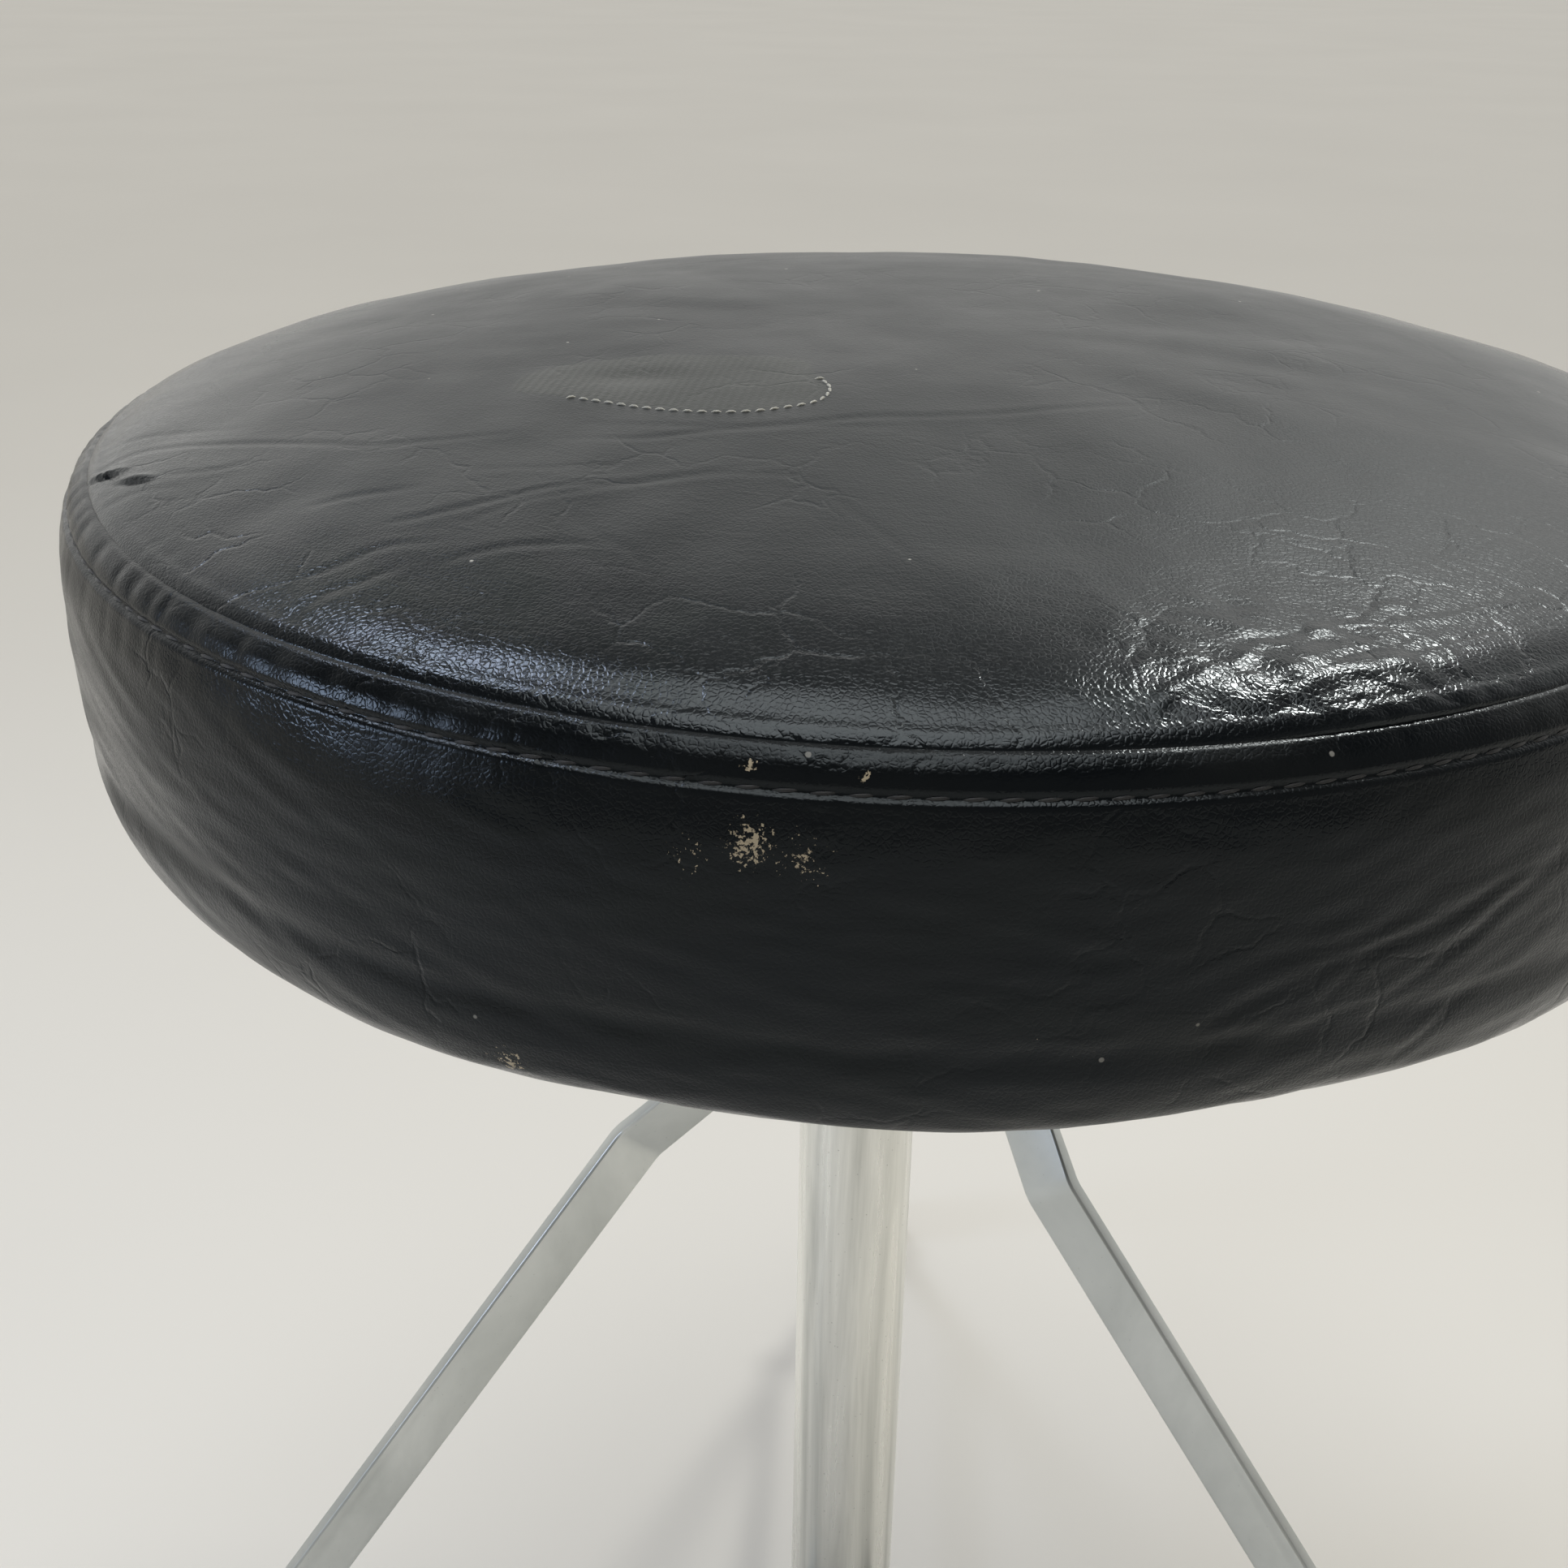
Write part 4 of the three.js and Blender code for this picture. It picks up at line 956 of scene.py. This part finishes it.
# ---- Foam ---------------------------------------------------------------------------------
# A moulded disc of open cell foam, aged yellow, that fills the cover and laps the board.
board_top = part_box("seat_board")[1].z
material, tree, shader, place = start_material("aged_open_cell_foam", IOR=1.4)
pores = node(tree, "TexVoronoi", {"Vector": place, "Scale": 700.0})
stain = node(tree, "TexNoise", {"Vector": place, "Scale": 30.0, "Detail": 4.0})
tint = node(tree, "Mix", {0: stain.outputs[0], 6: linear("#b98f3c"), 7: linear("#d9c37c")},
            data_type="RGBA")
dry = node(tree, "MapRange", {"Value": pores.outputs["Distance"], "To Min": 0.8, "To Max": 0.95})
surface(tree, shader, tint.outputs[2], dry.outputs[0], pores.outputs["Distance"], 0.4)
FOAM_TURNS, FOAM_FOOT_R = 192, 152.0
foam_theta = (np.arange(FOAM_TURNS) * 2 * math.pi / FOAM_TURNS)[None]
foam_top = place_skin("top", np.array([160, 130, 100, 70, 45, 25, 12, 6, 2.5]), foam_theta,
                      -3.6 * np.ones((9, 1)))
foam_side = place_skin("side", np.array([3.0, 8, 14, 22, 32, 42, 50, 56, 61]), foam_theta,
                       -3.4 * np.ones((9, 1)))
floor_z = (board_top - cushion.z) / MM + 0.35
inner_ring = np.stack([FOAM_FOOT_R * np.cos(foam_theta[0]),
                       FOAM_FOOT_R * np.sin(foam_theta[0]), np.full(FOAM_TURNS, floor_z)],
                      -1)[None]
foam_rows = np.concatenate([foam_top, foam_side, inner_ring])
foam_rows[-2, :, 2] = np.maximum(foam_rows[-2, :, 2], floor_z - 9)
foam_faces = [list(f) for f in ring_faces(len(foam_rows), FOAM_TURNS)]
foam_faces += [list(range(FOAM_TURNS))[::-1],
               [(len(foam_rows) - 1) * FOAM_TURNS + j for j in range(FOAM_TURNS)]]
foam_core = mesh_piece("foam_core", foam_rows, foam_faces)
face_outward(foam_core, 40)
foam_core.data.materials.append(material)
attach(foam_core, "seat")
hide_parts("foam_pad")

# ---- Dust cloth ---------------------------------------------------------------------------
# Black cambric stapled under the seat to hide the turned-in vinyl, cut out round the bracket.
cloth_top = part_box("dust_cloth")[1].z
cloth_z = (cloth_top - cushion.z) / MM - 0.15
axis_from_cushion = np.array([(axis_x - cushion.x) / MM, (axis_y - cushion.y) / MM])
material, tree, shader, place = start_material("black_cambric", IOR=1.45, Sheen_Weight=0.3)
# threads 0.4 mm apart in the real cloth, drawn 0.9 mm apart so that they show
warp_run = node(tree, "TexWave", {"Vector": place, "Scale": 350.0, "Distortion": 0.6},
                bands_direction="X")
weft_run = node(tree, "TexWave", {"Vector": place, "Scale": 350.0, "Distortion": 0.6},
                bands_direction="Y")
weave = node(tree, "Math", {0: warp_run.outputs["Fac"], 1: weft_run.outputs["Fac"]},
             operation="MULTIPLY")
lint = node(tree, "TexNoise", {"Vector": place, "Scale": 45.0, "Detail": 5.0})
tint = node(tree, "Mix", {0: lint.outputs[0], 6: linear("#121213"), 7: linear("#2b2a29")},
            data_type="RGBA")
dry = node(tree, "MapRange", {"Value": weave.outputs[0], "To Min": 0.72, "To Max": 0.9})
surface(tree, shader, tint.outputs[2], dry.outputs[0], weave.outputs[0], 0.1)
CLOTH_TURNS, CLOTH_R, CLOTH_HOLE_R = 240, 142, 68
cloth_theta = np.arange(CLOTH_TURNS) * 2 * math.pi / CLOTH_TURNS
way = np.stack([np.cos(cloth_theta), np.sin(cloth_theta)], -1)
outer_edge, inner_edge = CLOTH_R * way, CLOTH_HOLE_R * way + axis_from_cushion
cloth_rows = []
for share in np.linspace(0, 1, 15):
    flat = outer_edge * (1 - share) + inner_edge * share
    sag = -0.9 * math.sin(math.pi * share) * (1 + 0.5 * np.cos(13 * cloth_theta))
    cloth_rows.append(np.column_stack([flat, cloth_z + sag - 0.15]))
dust_cloth = mesh_piece("cambric_dust_cloth", np.array(cloth_rows),
                        ring_faces(len(cloth_rows), CLOTH_TURNS)[:, ::-1])
only(dust_cloth)
skin = dust_cloth.modifiers.new("thickness", "SOLIDIFY")
skin.thickness, skin.offset = 0.4 * MM, 0.0
bpy.ops.object.modifier_apply(modifier=skin.name)
bpy.ops.object.shade_smooth_by_angle(angle=math.radians(50))
dust_cloth.data.materials.append(material)
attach(dust_cloth, "seat")
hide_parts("dust_cloth")

# ---- Floor --------------------------------------------------------------------------------
# A plain pale painted floor, wide enough to fill the main view behind the stool.
bpy.ops.mesh.primitive_plane_add(size=60, location=(0, 0, 0))
floor = bpy.context.object
floor.name = "studio_floor"
material, tree, shader, place = start_material("pale_painted_floor", IOR=1.45, Roughness=0.8)
mottle = node(tree, "TexNoise", {"Vector": place, "Scale": 1.6, "Detail": 4.0})
tint = node(tree, "Mix", {0: mottle.outputs[0], 6: linear("#d4d1cb"), 7: linear("#dcd9d3")},
            data_type="RGBA")
tree.links.new(tint.outputs[2], shader.inputs["Base Color"])
floor.data.materials.append(material)

# ---- Light --------------------------------------------------------------------------------
# A bright pale wall beyond the stool, a dim room behind the camera, a cool window and a
# skylight at the left, a soft lamp at the right and a pale ceiling overhead.
world = bpy.data.worlds.new("studio")
bpy.context.scene.world = world
world.use_nodes = True
sky = world.node_tree
way = node(sky, "TexCoord").outputs["Generated"]
parts = node(sky, "SeparateXYZ", {"Vector": way})
beyond = node(sky, "MapRange", {"Value": parts.outputs["Y"], "From Min": -0.10, "From Max": 0.72,
                                "To Min": 0.22, "To Max": 1.0}, interpolation_type="SMOOTHSTEP")
higher = node(sky, "MapRange", {"Value": parts.outputs["Z"], "From Min": 0.50, "From Max": 0.80,
                                "To Min": 1.0, "To Max": 0.36}, interpolation_type="SMOOTHSTEP")
overhead = node(sky, "MapRange", {"Value": parts.outputs["Z"], "From Min": 0.89, "From Max": 0.965,
                                  "To Min": 0.0, "To Max": 3.3}, interpolation_type="SMOOTHSTEP")
wall = node(sky, "Math", {0: beyond.outputs[0], 1: higher.outputs[0]}, operation="MULTIPLY")
strength = node(sky, "Math", {0: wall.outputs[0], 1: overhead.outputs[0]}, operation="ADD")
sky.links.new(strength.outputs[0], sky.nodes["Background"].inputs["Strength"])
sky.nodes["Background"].inputs["Color"].default_value = linear("#fbfaf6")
seat_top = Vector((cushion.x, cushion.y, cushion.z))


def soft_light(name, azimuth, elevation, distance, size, power, hex_colour):
    """A square soft box that faces the cushion."""
    data = bpy.data.lights.new(name, "AREA")
    data.shape, data.size, data.energy = "SQUARE", size, power
    data.color = linear(hex_colour)[:3]
    lamp = bpy.data.objects.new(name, data)
    bpy.context.scene.collection.objects.link(lamp)
    a, e = math.radians(azimuth), math.radians(elevation)
    lamp.location = seat_top + distance * Vector((math.cos(a) * math.cos(e),
                                                  math.sin(a) * math.cos(e), math.sin(e)))
    lamp.rotation_euler = (seat_top - lamp.location).to_track_quat("-Z", "Y").to_euler()
    return lamp


soft_light("window_left", 207, 12, 1.3, 0.34, 3.6, "#d6e5ff")
soft_light("skylight_left", 160, 57, 1.2, 0.26, 2.6, "#e2ebff")
soft_light("lamp_right", 42, 53, 1.1, 0.17, 5.2, "#fbfaf4")

# ---- Camera -------------------------------------------------------------------------------
# Close in front of the stool and a little above it, looking down.
YAW, PITCH, ROLL = math.radians(4.223), math.radians(25.88), math.radians(0.746)
lens_data = bpy.data.cameras.new("camera")
lens_data.lens, lens_data.sensor_width, lens_data.clip_start = 41.75, 36.0, 0.01
camera = bpy.data.objects.new("camera", lens_data)
bpy.context.scene.collection.objects.link(camera)
level = Vector((math.cos(YAW), math.sin(YAW), 0))
forward = Vector((-math.sin(YAW) * math.cos(PITCH), math.cos(YAW) * math.cos(PITCH),
                  -math.sin(PITCH)))
rise = level.cross(forward)
right = level * math.cos(ROLL) + rise * math.sin(ROLL)
upward = rise * math.cos(ROLL) - level * math.sin(ROLL)
camera.matrix_world = Matrix((
    (right.x, upward.x, -forward.x, axis_x + 8.37 * MM),
    (right.y, upward.y, -forward.y, axis_y - 377.63 * MM),
    (right.z, upward.z, -forward.z, cushion.z + 98.53 * MM),
    (0, 0, 0, 1)))
bpy.context.scene.camera = camera
bpy.context.scene.view_settings.view_transform = "Standard"

bpy.context.view_layer.update()
